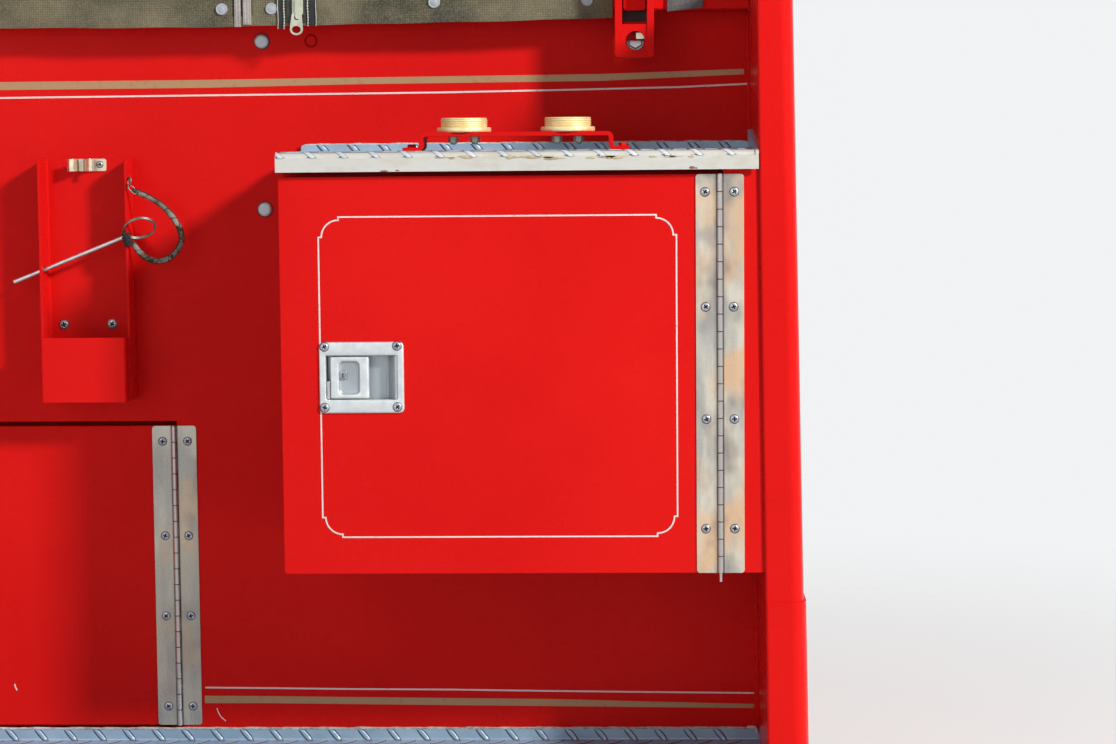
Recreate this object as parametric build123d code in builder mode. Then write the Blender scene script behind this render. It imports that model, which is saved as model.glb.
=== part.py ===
from build123d import *
import os
from math import hypot, pi, tan

# Side bay of a fire truck's rear equipment body, in millimetres.
# X runs along the truck to the right, Y from the kerb side into the body and Z up.
# The origin is at the middle of the base, on the plane that the bay stands on.
# A recessed wall stands between two corner posts under a top rail. An upper locker hangs
# in front of the wall under a tread plate, and a lower locker lies behind the wall.

# Whole bay
bay_half_width = 605.0
bay_front = -197.0
bay_rear = 197.0

# Base frame of square tube, and the chequered side deck on it
base_height = 40.0
base_tube_width = 40.0
base_tube_wall = 3.0
base_tube_corner = 4.5
base_bolt_radius = 6.5
base_bolt_inset = 65.0
sill_cap = 3.0
deck_sheet = 3.0
deck_lip_drop = 37.0
deck_upstand = 12.5

# Recessed wall
wall_front = 17.0
wall_sheet = 2.0
wall_tuck = 12.0

# Corner posts, which lean inwards towards the top
post_proud = 4.0
post_rear = 40.0
post_sheet = 2.5
post_foot_width = 42.0
post_inner_lean = 11.5
post_outer_lean = 15.5
post_nose_radius = 14.0
post_corner_radius = 3.0
kick_sheet = 2.6
kick_top = 237.0

# Top rail over the wall
rail_bottom = 863.0
rail_height = 50.0
rail_depth = 40.0
rail_proud = 35.0
rail_wall = 2.5

# Folded sheet of the lockers
locker_sheet = 1.5
locker_bend = 3.0
landing_flange = 20.0
landing_gap = 6.0
seal_thickness = 5.7
seal_width = 9.0
seal_inset = 5.0

# Doors: shallow pans with turned-in hems
door_depth = 20.0
door_sheet = 1.5
door_hem = 15.0
door_corner_radius = 3.0
door_swing_gap = 5.0

# Upper locker
locker_projection = 202.0
upper_jamb_width = 49.0
upper_door_width = 457.0
upper_bottom = 268.0
upper_tread_top = 711.0
tread_sheet = 3.0
tread_bend = 5.5
tread_rear_bend = 2.0
tread_rear_upstand = 8.0
tread_corner = 3.5
tread_lip_drop = 20.0
tread_lip_proud = 9.0
tread_left_overhang = 1.5
tread_upstand = 21.0
tread_upstand_flat = 60.0

# Lower locker
lower_post_gap = 26.0
lower_door_width = 437.0
lower_bottom = 60.5
lower_top = 404.0
lower_box_rear_gap = 2.0
lower_roof_flange = 20.0
lower_back_return = 12.0
lower_landing_width = 18.0

# Piano hinges
hinge_pin_radius = 1.5
hinge_bore_clearance = 0.06
hinge_knuckle_radius = 2.8
hinge_leaf_sheet = 1.2
hinge_leaf_width = 25.0
hinge_leaf_corner = 3.5
hinge_knuckle_pitch = 17.7
hinge_knuckle_gap = 0.5
hinge_edge_gap = 3.0
upper_pin_tail = 9.0
lower_pin_tail = 0.5

# Flush latches
latch_width = 89.0
latch_height = 75.0
latch_from_edge = 84.7
latch_below_middle = 1.0
latch_proud = 2.5
latch_corner = 5.0
latch_window_width = 75.0
latch_window_height = 46.5
latch_cup_depth = 13.0
latch_cup_wall = 1.8
latch_cutout_clearance = 0.5
latch_slope_width = 13.0
paddle_width = 38.7
paddle_height = 44.4
paddle_left_gap = 4.5
paddle_thickness = 6.0
paddle_below_bezel = 2.5
paddle_corner = 1.5
paddle_dish_width = 20.5
paddle_dish_height = 36.0
paddle_dish_depth = 3.0
paddle_dish_corner = 2.0
paddle_pivot_from_edge = 9.7
paddle_pivot_width = 12.9
paddle_pivot_height = 36.4
latch_case_width = 58.0
latch_case_height = 42.0
latch_case_depth = 22.0
latch_case_from_edge = 27.0
latch_case_corner = 3.0
tongue_slot_width = 12.0
tongue_slot_height = 16.0
tongue_slot_depth = 4.0
striker_height = 26.0
striker_depth = 14.0
striker_sheet = 2.0

# Adaptor rail on the tread plate
adaptor_rail_from_wall = 136.0
adaptor_rail_width = 50.0
adaptor_rail_sheet = 5.0
adaptor_rail_top = 731.5
adaptor_rail_length = 204.0
adaptor_rail_from_axis = 212.5
adaptor_foot_length = 19.0
adaptor_riser_run = 6.0
adaptor_bend = 6.0
adaptor_spacing = 110.4
adaptor_shift = 1.6
adaptor_flange_radius = 28.7
adaptor_flange_thickness = 5.0
adaptor_thread_radius = 24.85
adaptor_thread_height = 10.0
adaptor_bore_radius = 19.0
adaptor_bolt_offset = 11.5
adaptor_bolt_radius = 3.0
adaptor_bolt_head_radius = 5.5
adaptor_bolt_length = 6.0

# Tool holder on the wall
holder_left = -237.0
holder_width = 100.0
holder_sheet = 3.0
holder_flange_depth = 38.0
holder_bottom = 436.5
holder_top = 706.0
holder_corner = 8.0
pocket_height = 72.0
pocket_reach = 58.0
holder_pin_radius = 1.9
pin_left_overrun = 32.0
pin_left_rise = 131.5
pin_right_overrun = 3.5
pin_right_rise = 187.5
pin_from_wall = 26.0
holder_pin_hole_radius = 4.0
pin_eye_radius = 10.5
pin_eye_wire = 1.7
pin_eye_straight = 10.0
pin_eye_offset_x = 14.0
pin_eye_offset_z = 3.4
clip_width = 42.0
clip_height = 17.0
clip_sheet = 1.2
clip_reach = 16.0
clip_throat = 14.0
clip_base = 24.0
clip_shift = 0.5
pocket_sheet = 2.0
pocket_lap = 12.0

# Lanyard from the holder's flange to the eye of its pin
lanyard_radius = 3.0
lanyard_route = [
    (-131.5, -21.0, 671.5),
    (-106.0, -19.0, 660.5),
    (-85.0, -16.5, 641.0),
    (-75.5, -14.5, 616.0),
    (-83.0, -13.0, 597.0),
    (-99.5, -11.5, 586.5),
    (-117.0, -10.5, 589.5),
    (-128.0, -9.5, 601.5),
    (-130.0, -9.0, 617.0),
]
link_radius = 6.5
link_wire = 1.4
link_below_top = 31.5
link_hole_radius = 3.0

# Stay bracket under the rail
stay_from_post = 146.5
stay_width = 42.5
stay_below_rail_top = 3.0
stay_height = 99.5
stay_depth = 38.0
stay_recess_width = 27.0
stay_back = 6.0
stay_floor = 6.0
stay_corner = 4.0
stay_ridge = 6.0
stay_washer = 1.5
stay_bolt_head = 6.5
stay_tongue_width = 24.0
stay_tongue_depth = 12.0
stay_tongue_length = 48.0
stay_ridge_rise = 33.5
stay_bolt_rise = 20.0
stay_washer_radius = 10.5
stay_bolt_across_flats = 17.0

# Canvas cover skirt over the rail
cover_sheet = 2.5
cover_gap = 0.3
cover_front_drop = 63.5
cover_end_gap = 2.5
cover_stay_gap = 3.0
cover_rear_drop = 34.0
strap_from_post = 89.5
strap_width = 40.0
strap_front_drop = 50.5

# Dome studs on the wall
stud_radius = 7.9
stud_height = 4.5
stud_heights = (834.5, 647.5)
stud_gaps = (43.5, 43.0)

# Stiffeners on the back of the wall
stiffener_width = 42.0
stiffener_depth = 25.0
stiffener_flange = 15.0
stiffener_sheet = 1.5
stiffener_from_locker = 125.0
stiffener_from_post = 132.0
short_stiffener_offsets = (109.0, 339.0)

# Sizes worked out from those above
post_inner_foot = bay_half_width - post_foot_width
post_inner_head = post_inner_foot - post_inner_lean
post_outer_head = bay_half_width - post_outer_lean
wall_raw_half_width = post_inner_foot + wall_tuck
deck_top = base_height + deck_sheet
wall_back = wall_front + wall_sheet
door_face = wall_front - locker_projection
door_back = door_face + door_depth
post_front = door_face - post_proud
rail_top = rail_bottom + rail_height
rail_front = wall_front - rail_proud
rail_rear = rail_front + rail_depth
landing_face = door_back + landing_gap
upper_axis_x = post_inner_foot - upper_jamb_width
upper_door_right = upper_axis_x - hinge_edge_gap
upper_left = upper_door_right - upper_door_width
upper_jamb_left = upper_axis_x + hinge_edge_gap
tread_bottom = upper_tread_top - tread_sheet
tread_lip_bottom = upper_tread_top - tread_lip_drop
tread_lip_front = door_face - tread_lip_proud
upper_door_top = tread_lip_bottom - door_swing_gap
header_bottom = upper_door_top + door_swing_gap + 1.0
lower_left = lower_post_gap - post_inner_foot
lower_door_right = lower_left + lower_door_width
lower_axis_x = lower_door_right + hinge_edge_gap
lower_opening_left = lower_left - door_swing_gap
lower_opening_right = lower_axis_x + hinge_edge_gap
lower_box_rear = bay_rear - lower_box_rear_gap
lower_opening_top = lower_top + door_swing_gap + 0.5
lower_landing_face = wall_front + door_depth + landing_gap
holder_right = holder_left + holder_width
upper_latch_z = (upper_bottom + upper_door_top) / 2 - latch_below_middle
lower_latch_z = (lower_bottom + lower_top) / 2

pieces = []


def keep(piece, name):
    """Label a finished piece and remember it for export."""
    piece.part.label = name
    pieces.append((name, piece.part))


def facing(y):
    """Plane across the bay at depth y, with its local x along X and its local y along Z."""
    return Plane.XZ.offset(-y)


def span(low, high):
    """Middle of a span and its length."""
    return (low + high) / 2, high - low


def block(x, y, z, mode=Mode.ADD):
    """Block between a low and a high limit on each axis."""
    (cx, lx), (cy, ly), (cz, lz) = span(*x), span(*y), span(*z)
    with Locations((cx, cy, cz)):
        Box(lx, ly, lz, mode=mode)


def plate(x, z, corner=0.0):
    """Rectangle in a plane across the bay, between limits on X and Z."""
    (cx, lx), (cz, lz) = span(*x), span(*z)
    with Locations((cx, cz)):
        if corner > 0:
            RectangleRounded(lx, lz, corner)
        else:
            Rectangle(lx, lz)


def folded(corners, sheet, bend, side=Side.LEFT):
    """Section of a folded sheet: its outer line, with the sheet on one side of it."""
    with BuildLine() as outer_line:
        FilletPolyline(*corners, radius=bend)
    section = outer_line.wires()[0].offset_2d(sheet, side=side)
    make_face(section.edges())


# Base frame: two sills of square tube with capped ends, and tubes between them
def tube_section(x, z):
    """Hollow section of base tube between limits."""
    (cx, lx), (cz, lz) = span(*x), span(*z)
    with Locations((cx, cz)):
        RectangleRounded(lx, lz, base_tube_corner)
        RectangleRounded(lx - 2 * base_tube_wall, lz - 2 * base_tube_wall,
                         base_tube_corner - base_tube_wall, mode=Mode.SUBTRACT)


sill_front = bay_front + deck_sheet
bolt_rows = (sill_front + base_tube_width / 2, bay_rear - base_tube_width / 2)
bolt_x = bay_half_width - base_bolt_inset

with BuildPart() as base_sills:
    with BuildSketch(Plane.YZ.offset(-bay_half_width)):
        for row in bolt_rows:
            tube_section((row - base_tube_width / 2, row + base_tube_width / 2), (0, base_height))
    extrude(amount=2 * bay_half_width)
    for row in bolt_rows:
        half_hollow = base_tube_width / 2 - base_tube_wall
        for end in (-bay_half_width, bay_half_width - sill_cap):
            block((end, end + sill_cap), (row - half_hollow, row + half_hollow),
                  (base_tube_wall, base_height - base_tube_wall))
    with BuildSketch(Plane.XY):
        for row in bolt_rows:
            with Locations((-bolt_x, row), (bolt_x, row)):
                Circle(base_bolt_radius)
    extrude(amount=base_height, mode=Mode.SUBTRACT)
keep(base_sills, "base_sills")

cross_low = bolt_rows[0] + base_tube_width / 2
cross_high = bolt_rows[1] - base_tube_width / 2
cross_places = (-bay_half_width + base_tube_width / 2, 0.0, bay_half_width - base_tube_width / 2)

with BuildPart() as base_cross_tubes:
    with BuildSketch(facing(cross_high)):
        for place in cross_places:
            tube_section((place - base_tube_width / 2, place + base_tube_width / 2), (0, base_height))
    extrude(amount=cross_high - cross_low)
keep(base_cross_tubes, "base_cross_tubes")


# Corner posts: leaning boxes with a rounded outer nose, open at the foot
def post_x(foot, head, height):
    """Place along X of a leaning face of the right-hand post at a height."""
    return foot + (head - foot) * (height - base_height) / (rail_top - base_height)


def post_inner(height):
    """Inner face of the right-hand post at a height."""
    return post_x(post_inner_foot, post_inner_head, height)


def post_ring(height, margin, grow=0.0):
    """Section of the right-hand post at a height, drawn in by a margin or grown outwards."""
    inner = post_inner(height) + margin
    outer = post_x(bay_half_width, post_outer_head, height) - margin + grow
    front = post_front + margin - grow
    rear = post_rear - margin
    nose = post_nose_radius - margin + grow
    small = max(post_corner_radius - margin, 0.5)
    with BuildLine() as ring:
        Line((inner + small, rear), (outer - small, rear))
        RadiusArc((outer - small, rear), (outer, rear - small), small)
        Line((outer, rear - small), (outer, front + nose))
        RadiusArc((outer, front + nose), (outer - nose, front), nose)
        Line((outer - nose, front), (inner + small, front))
        RadiusArc((inner + small, front), (inner, front + small), small)
        Line((inner, front + small), (inner, rear - small))
        RadiusArc((inner, rear - small), (inner + small, rear), small)
    make_face(ring.edges())


with BuildPart() as front_post_outline:
    for height in (base_height, rail_top):
        with BuildSketch(Plane.XY.offset(height)):
            post_ring(height, 0)
    loft()

with BuildPart() as rear_post_outline:
    add(front_post_outline.part)
    mirror(about=Plane.YZ, mode=Mode.REPLACE)

with BuildPart() as front_post:
    add(front_post_outline.part)
    for height in (base_height, rail_top - post_sheet):
        with BuildSketch(Plane.XY.offset(height)):
            post_ring(height, post_sheet)
    loft(mode=Mode.SUBTRACT)
keep(front_post, "front_post")

with BuildPart() as rear_post:
    add(front_post.part)
    mirror(about=Plane.YZ, mode=Mode.REPLACE)
keep(rear_post, "rear_post")


def trim_to_posts():
    """Cut what is being built back to the two posts."""
    add(front_post_outline.part, mode=Mode.SUBTRACT)
    add(rear_post_outline.part, mode=Mode.SUBTRACT)


# Kick plates lapped over the foot of each post, round its nose
with BuildPart() as kick_plates:
    for height in (deck_top, kick_top):
        with BuildSketch(Plane.XY.offset(height)):
            post_ring(height, 0, kick_sheet)
    loft()
    add(front_post_outline.part, mode=Mode.SUBTRACT)
    mirror(about=Plane.YZ)
keep(kick_plates, "kick_plates")


# Side deck with a turned-down front lip and a low upstand along the wall, cut out round the posts
deck_half_width = bay_half_width - deck_sheet

with BuildPart() as side_deck:
    with BuildSketch(Plane.YZ.offset(-deck_half_width)):
        deck_line = (
            (wall_front - deck_sheet, deck_top + deck_upstand),
            (wall_front - deck_sheet, deck_top),
            (bay_front, deck_top),
            (bay_front, deck_top - deck_lip_drop),
        )
        folded(deck_line, deck_sheet, (tread_rear_bend, tread_bend))
    extrude(amount=2 * deck_half_width)
    trim_to_posts()
keep(side_deck, "side_deck")


# Recessed wall, notched for the lower locker, its edges against the posts
with BuildPart() as back_wall:
    with BuildSketch(facing(wall_front)):
        plate((-wall_raw_half_width, wall_raw_half_width), (base_height, rail_bottom))
    extrude(amount=-wall_sheet)
    block((lower_opening_left, lower_opening_right), (wall_front - 1, wall_back + 1),
          (base_height - 1, lower_opening_top), mode=Mode.SUBTRACT)
    trim_to_posts()
keep(back_wall, "back_wall")


# Hat-section stiffeners on the back of the wall
def hat_section(place):
    """Section of one stiffener on the back of the wall, centred on a place along X."""
    half = stiffener_width / 2
    line = (
        (place - half - stiffener_flange, wall_back + stiffener_sheet),
        (place - half, wall_back + stiffener_sheet),
        (place - half, wall_back + stiffener_depth),
        (place + half, wall_back + stiffener_depth),
        (place + half, wall_back + stiffener_sheet),
        (place + half + stiffener_flange, wall_back + stiffener_sheet),
    )
    folded(line, stiffener_sheet, locker_bend, Side.RIGHT)


first_stiffener = lower_opening_right + stiffener_from_locker
last_stiffener = post_inner_foot - stiffener_from_post

with BuildPart() as wall_stiffeners:
    with BuildSketch(Plane.XY.offset(base_height)):
        for place in (first_stiffener, (first_stiffener + last_stiffener) / 2, last_stiffener):
            hat_section(place)
    extrude(amount=rail_bottom - base_height)
    with BuildSketch(Plane.XY.offset(lower_opening_top + lower_roof_flange)):
        for offset_x in short_stiffener_offsets:
            hat_section(lower_opening_left + offset_x)
    extrude(amount=rail_bottom - lower_opening_top - lower_roof_flange)
keep(wall_stiffeners, "wall_stiffeners")


# Top rail between the posts
rail_half_length = post_inner_head
with BuildPart() as top_rail:
    with BuildSketch(Plane.YZ.offset(-rail_half_length)):
        with Locations(((rail_front + rail_rear) / 2, rail_bottom + rail_height / 2)):
            RectangleRounded(rail_depth, rail_height, post_corner_radius)
            RectangleRounded(rail_depth - 2 * rail_wall, rail_height - 2 * rail_wall,
                             post_corner_radius / 2, mode=Mode.SUBTRACT)
    extrude(amount=2 * rail_half_length)
keep(top_rail, "top_rail")


# Upper locker: side, floor, header and jamb of folded sheet, with landing flanges
side_rear = wall_front
landing_left = upper_left + landing_flange
landing_low = upper_bottom + landing_flange
landing_right = upper_jamb_left - landing_flange
landing_high = header_bottom - landing_flange

with BuildPart() as upper_side:
    with BuildSketch(Plane.XY.offset(upper_bottom)):
        side_line = (
            (landing_left, landing_face),
            (upper_left, landing_face),
            (upper_left, side_rear),
            (landing_left, side_rear),
        )
        folded(side_line, locker_sheet, locker_bend, Side.RIGHT)
    extrude(amount=tread_bottom - upper_bottom)
    for low, high in ((upper_bottom, landing_low), (landing_high, tread_bottom)):
        block((upper_left + locker_bend, landing_left + 1),
              (landing_face - 1, landing_face + locker_bend), (low, high), mode=Mode.SUBTRACT)
    block((upper_left + locker_sheet, landing_left + 1),
          (side_rear - locker_bend, side_rear + 1),
          (upper_bottom, upper_bottom + locker_bend), mode=Mode.SUBTRACT)
keep(upper_side, "upper_side")

with BuildPart() as upper_floor:
    with BuildSketch(Plane.YZ.offset(upper_left + locker_bend)):
        floor_line = (
            (landing_face, landing_low),
            (landing_face, upper_bottom),
            (side_rear, upper_bottom),
        )
        folded(floor_line, locker_sheet, locker_bend, Side.LEFT)
    extrude(amount=wall_raw_half_width - upper_left - locker_bend)
    block((upper_jamb_left, wall_raw_half_width + 1), (landing_face - 1, landing_face + locker_bend),
          (upper_bottom - 1, landing_low + 1), mode=Mode.SUBTRACT)
    trim_to_posts()
keep(upper_floor, "upper_floor")

with BuildPart() as upper_header:
    with BuildSketch(Plane.YZ.offset(upper_left)):
        header_line = (
            (door_face, tread_bottom),
            (door_face, header_bottom),
            (landing_face, header_bottom),
            (landing_face, landing_high),
        )
        folded(header_line, locker_sheet, locker_bend, Side.LEFT)
    extrude(amount=upper_jamb_left - upper_left)
    block((upper_left - 1, upper_left + locker_bend), (landing_face, landing_face + locker_bend),
          (landing_high - 1, tread_bottom), mode=Mode.SUBTRACT)
    block((upper_jamb_left - locker_bend, upper_jamb_left + 1),
          (landing_face - locker_bend, landing_face + locker_bend),
          (landing_high - 1, tread_bottom), mode=Mode.SUBTRACT)
keep(upper_header, "upper_header")

with BuildPart() as upper_jamb:
    with BuildSketch(Plane.XY.offset(upper_bottom)):
        jamb_line = (
            (wall_raw_half_width, door_face),
            (upper_jamb_left, door_face),
            (upper_jamb_left, landing_face),
            (landing_right, landing_face),
        )
        folded(jamb_line, locker_sheet, locker_bend, Side.RIGHT)
    extrude(amount=tread_bottom - upper_bottom)
    for low, high in ((upper_bottom - 1, landing_low), (landing_high, tread_bottom + 1)):
        block((landing_right - 1, upper_jamb_left), (landing_face - 1, landing_face + locker_sheet + 1),
              (low, high), mode=Mode.SUBTRACT)
    trim_to_posts()
keep(upper_jamb, "upper_jamb")

tread_left = upper_left - tread_left_overhang
tread_right = post_inner(upper_tread_top)
upstand_right = post_inner(upper_tread_top + tread_upstand)

with BuildPart() as upper_tread:
    with BuildSketch(Plane.YZ.offset(tread_left)):
        tread_line = (
            (wall_front - tread_sheet, upper_tread_top + tread_rear_upstand),
            (wall_front - tread_sheet, upper_tread_top),
            (tread_lip_front, upper_tread_top),
            (tread_lip_front, tread_lip_bottom),
        )
        folded(tread_line, tread_sheet, (tread_rear_bend, tread_bend), Side.LEFT)
    extrude(amount=tread_right - tread_left)
    left_corner = (
        upper_tread.edges()
        .filter_by(Axis.Y)
        .filter_by_position(Axis.Y, wall_front - tread_sheet, wall_front)
        .group_by(Axis.Z)[-1]
        .sort_by(Axis.X)[0]
    )
    fillet(left_corner, radius=tread_corner)
    with BuildSketch(Plane.YZ.offset(upstand_right - tread_sheet)):
        with BuildLine():
            Polyline(
                (wall_front, upper_tread_top - tread_bend),
                (wall_front, upper_tread_top + tread_upstand),
                (wall_front - tread_upstand_flat, upper_tread_top + tread_upstand),
                (tread_lip_front + tread_bend, upper_tread_top),
                (tread_lip_front + tread_bend, upper_tread_top - tread_bend / 2),
                close=True,
            )
        make_face()
    extrude(amount=tread_sheet)
    trim_to_posts()
keep(upper_tread, "upper_tread")


# Door seals: flat rubber rings on the landing flanges
def seal_ring(x, z, face):
    """Seal between outer limits, standing forward from a landing face."""
    with BuildSketch(facing(face)) as ring:
        plate(x, z, door_corner_radius)
        (cx, lx), (cz, lz) = span(*x), span(*z)
        with Locations((cx, cz)):
            Rectangle(lx - 2 * seal_width, lz - 2 * seal_width, mode=Mode.SUBTRACT)
    extrude(ring.sketch, amount=seal_thickness)


with BuildPart() as upper_seal:
    seal_ring(
        (upper_left + seal_inset, upper_door_right - seal_inset),
        (upper_bottom + seal_inset, upper_door_top - seal_inset),
        landing_face,
    )
keep(upper_seal, "upper_seal")


# Lower locker: a box behind the wall, with a landing ring behind its door
box_low = base_height + locker_sheet
box_deep = lower_box_rear - locker_sheet
box_sides = (lower_opening_left, lower_opening_right)
landing_hole_low = lower_bottom + seal_inset / 2 + seal_width
landing_hole_high = lower_opening_top - lower_landing_width

with BuildPart() as lower_sides:
    block((box_sides[0] - locker_sheet, box_sides[0]), (wall_back, box_deep),
          (base_height, lower_opening_top))
    block((box_sides[1], box_sides[1] + locker_sheet), (wall_back, box_deep),
          (base_height, lower_opening_top))
keep(lower_sides, "lower_sides")

with BuildPart() as lower_roof:
    with BuildSketch(Plane.YZ.offset(box_sides[0] - locker_sheet)):
        roof_line = (
            (wall_back, lower_opening_top + lower_roof_flange),
            (wall_back, lower_opening_top),
            (box_deep, lower_opening_top),
        )
        folded(roof_line, locker_sheet, locker_bend, Side.LEFT)
    extrude(amount=box_sides[1] - box_sides[0] + 2 * locker_sheet)
keep(lower_roof, "lower_roof")

with BuildPart() as lower_floor:
    block(box_sides, (wall_back, box_deep), (base_height, box_low))
keep(lower_floor, "lower_floor")

with BuildPart() as lower_back:
    with BuildSketch(Plane.XY.offset(base_height)):
        back_line = (
            (box_sides[0] - locker_sheet, lower_box_rear - lower_back_return),
            (box_sides[0] - locker_sheet, lower_box_rear),
            (box_sides[1] + locker_sheet, lower_box_rear),
            (box_sides[1] + locker_sheet, lower_box_rear - lower_back_return),
        )
        folded(back_line, locker_sheet, locker_sheet, Side.LEFT)
    extrude(amount=lower_opening_top + locker_sheet - base_height)
keep(lower_back, "lower_back")

with BuildPart() as lower_landing:
    with BuildSketch(facing(lower_landing_face)):
        plate(box_sides, (box_low, lower_opening_top))
        (cx, lx), (cz, lz) = span(*box_sides), span(landing_hole_low, landing_hole_high)
        with Locations((cx, cz)):
            Rectangle(lx - 2 * lower_landing_width, lz, mode=Mode.SUBTRACT)
    extrude(amount=-locker_sheet)
keep(lower_landing, "lower_landing")

with BuildPart() as lower_seal:
    seal_ring(
        (lower_left + seal_inset / 2, lower_door_right - seal_inset / 2),
        (lower_bottom + seal_inset / 2, lower_top - seal_inset / 2),
        lower_landing_face,
    )
keep(lower_seal, "lower_seal")


# Piano hinges: two leaves with interleaved rolled knuckles on one pin
def knuckle_count(z):
    """Odd number of knuckles that comes closest to the usual pitch over a height."""
    return 2 * round((z[1] - z[0]) / hinge_knuckle_pitch / 2 - 0.5) + 1


def hinge_leaf(axis_x, face, z, side, first):
    """Leaf on one side of the axis, with every second knuckle from the first one given."""
    count = knuckle_count(z)
    pitch = (z[1] - z[0]) / count
    axis_y = face - hinge_knuckle_radius
    inner = hinge_knuckle_radius + hinge_knuckle_gap
    low, high = sorted((axis_x + side * inner, axis_x + side * hinge_leaf_width))
    with BuildSketch(facing(face)) as leaf:
        plate((low, high), z)
        far = leaf.vertices().group_by(Axis.X)[-1 if side > 0 else 0]
        fillet(far, radius=hinge_leaf_corner)
    extrude(leaf.sketch, amount=hinge_leaf_sheet)
    starts = [z[0] + pitch * i + hinge_knuckle_gap / 2 for i in range(first, count, 2)]
    planes = [Plane.XY.offset(start) for start in starts]
    near, far_x = sorted((axis_x, axis_x + side * (inner + 0.5)))
    with BuildSketch(*planes) as rolls:
        with Locations((axis_x, axis_y)):
            Circle(hinge_knuckle_radius)
        (cx, lx), (cy, ly) = span(near, far_x), span(face - hinge_leaf_sheet, face)
        with Locations((cx, cy)):
            Rectangle(lx, ly)
        with Locations((axis_x, axis_y)):
            Circle(hinge_pin_radius + hinge_bore_clearance, mode=Mode.SUBTRACT)
    extrude(rolls.sketch, amount=pitch - hinge_knuckle_gap)


def hinge_pin(axis_x, face, z, tail):
    """Pin through all the knuckles, with a tail below them and a peened head above."""
    with BuildSketch(Plane.XY.offset(z[0] - tail)) as section:
        with Locations((axis_x, face - hinge_knuckle_radius)):
            Circle(hinge_pin_radius)
    extrude(section.sketch, amount=z[1] - z[0] + tail)
    with BuildSketch(Plane.XY.offset(z[1])) as head:
        with Locations((axis_x, face - hinge_knuckle_radius)):
            Circle(hinge_knuckle_radius - hinge_knuckle_gap)
    extrude(head.sketch, amount=hinge_knuckle_gap)


upper_hinge_z = (upper_bottom, upper_door_top)
lower_hinge_z = (lower_bottom, lower_top)
upper_hinge = (upper_axis_x, door_face, upper_hinge_z)
lower_hinge = (lower_axis_x, wall_front, lower_hinge_z)

with BuildPart() as upper_hinge_jamb_leaf:
    hinge_leaf(*upper_hinge, side=1, first=0)
keep(upper_hinge_jamb_leaf, "upper_hinge_jamb_leaf")

with BuildPart() as upper_hinge_door_leaf:
    hinge_leaf(*upper_hinge, side=-1, first=1)
keep(upper_hinge_door_leaf, "upper_hinge_door_leaf")

with BuildPart() as upper_hinge_pin:
    hinge_pin(*upper_hinge, tail=upper_pin_tail)
keep(upper_hinge_pin, "upper_hinge_pin")

with BuildPart() as lower_hinge_wall_leaf:
    hinge_leaf(*lower_hinge, side=1, first=0)
keep(lower_hinge_wall_leaf, "lower_hinge_wall_leaf")

with BuildPart() as lower_hinge_door_leaf:
    hinge_leaf(*lower_hinge, side=-1, first=1)
keep(lower_hinge_door_leaf, "lower_hinge_door_leaf")

with BuildPart() as lower_hinge_pin:
    hinge_pin(*lower_hinge, tail=lower_pin_tail)
keep(lower_hinge_pin, "lower_hinge_pin")


# Doors: pans folded from one sheet, with hems turned in behind and a cut-out for the latch
def door_pan(x, z, face, latch_x, latch_z):
    """Door between limits on X and Z, its skin at a face, cut out for its latch."""
    (cx, lx), (cz, lz) = span(*x), span(*z)
    sheet = door_sheet
    with BuildSketch(facing(face)) as skin:
        with Locations((cx, cz)):
            RectangleRounded(lx, lz, door_corner_radius)
    extrude(skin.sketch, amount=-door_depth)
    with BuildSketch(facing(face + sheet)) as hollow:
        with Locations((cx, cz)):
            RectangleRounded(lx - 2 * sheet, lz - 2 * sheet, door_corner_radius - sheet)
    extrude(hollow.sketch, amount=2 * sheet - door_depth, mode=Mode.SUBTRACT)
    with BuildSketch(facing(face + door_depth - sheet)) as back:
        with Locations((cx, cz)):
            Rectangle(lx - 2 * door_hem, lz - 2 * door_hem)
    extrude(back.sketch, amount=-sheet, mode=Mode.SUBTRACT)
    with BuildSketch(facing(face)) as cutout:
        with Locations((latch_x, latch_z)):
            Rectangle(cup_width + 2 * latch_cutout_clearance, cup_height + 2 * latch_cutout_clearance)
    extrude(cutout.sketch, amount=-sheet, mode=Mode.SUBTRACT)


cup_width = latch_window_width + 2 * latch_cup_wall
cup_height = latch_window_height + 2 * latch_cup_wall
upper_latch = (upper_left + latch_from_edge, door_face, upper_latch_z)
lower_latch = (lower_left + latch_from_edge, wall_front, lower_latch_z)

with BuildPart() as upper_door:
    door_pan((upper_left, upper_door_right), upper_hinge_z, door_face, upper_latch[0], upper_latch_z)
keep(upper_door, "upper_door")

with BuildPart() as lower_door:
    door_pan((lower_left, lower_door_right), lower_hinge_z, wall_front, lower_latch[0], lower_latch_z)
keep(lower_door, "lower_door")


# Flush latches: bezel with a cup behind it, a dished paddle, and a case with a drawn-back tongue
def latch_cup(x, face, z):
    """Bezel plate and finger cup, centred on X and Z."""
    with BuildSketch(facing(face)) as bezel:
        with Locations((x, z)):
            RectangleRounded(latch_width, latch_height, latch_corner)
    extrude(bezel.sketch, amount=latch_proud)
    with BuildSketch(facing(face)) as outside:
        with Locations((x, z)):
            Rectangle(cup_width, cup_height)
    extrude(outside.sketch, amount=-latch_cup_depth - latch_cup_wall)
    with BuildSketch(facing(face - latch_proud)) as inside:
        with Locations((x, z)):
            Rectangle(latch_window_width, latch_window_height)
    extrude(inside.sketch, amount=-latch_proud - latch_cup_depth, mode=Mode.SUBTRACT)
    right = x + latch_window_width / 2
    with BuildSketch(Plane.XY.offset(z - latch_window_height / 2)) as slope:
        with BuildLine() as wedge:
            Polyline(
                (right, face - latch_proud / 2),
                (right, face + latch_cup_depth),
                (right - latch_slope_width, face + latch_cup_depth),
                close=True,
            )
        make_face(wedge.edges())
    extrude(slope.sketch, amount=latch_window_height)


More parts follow.
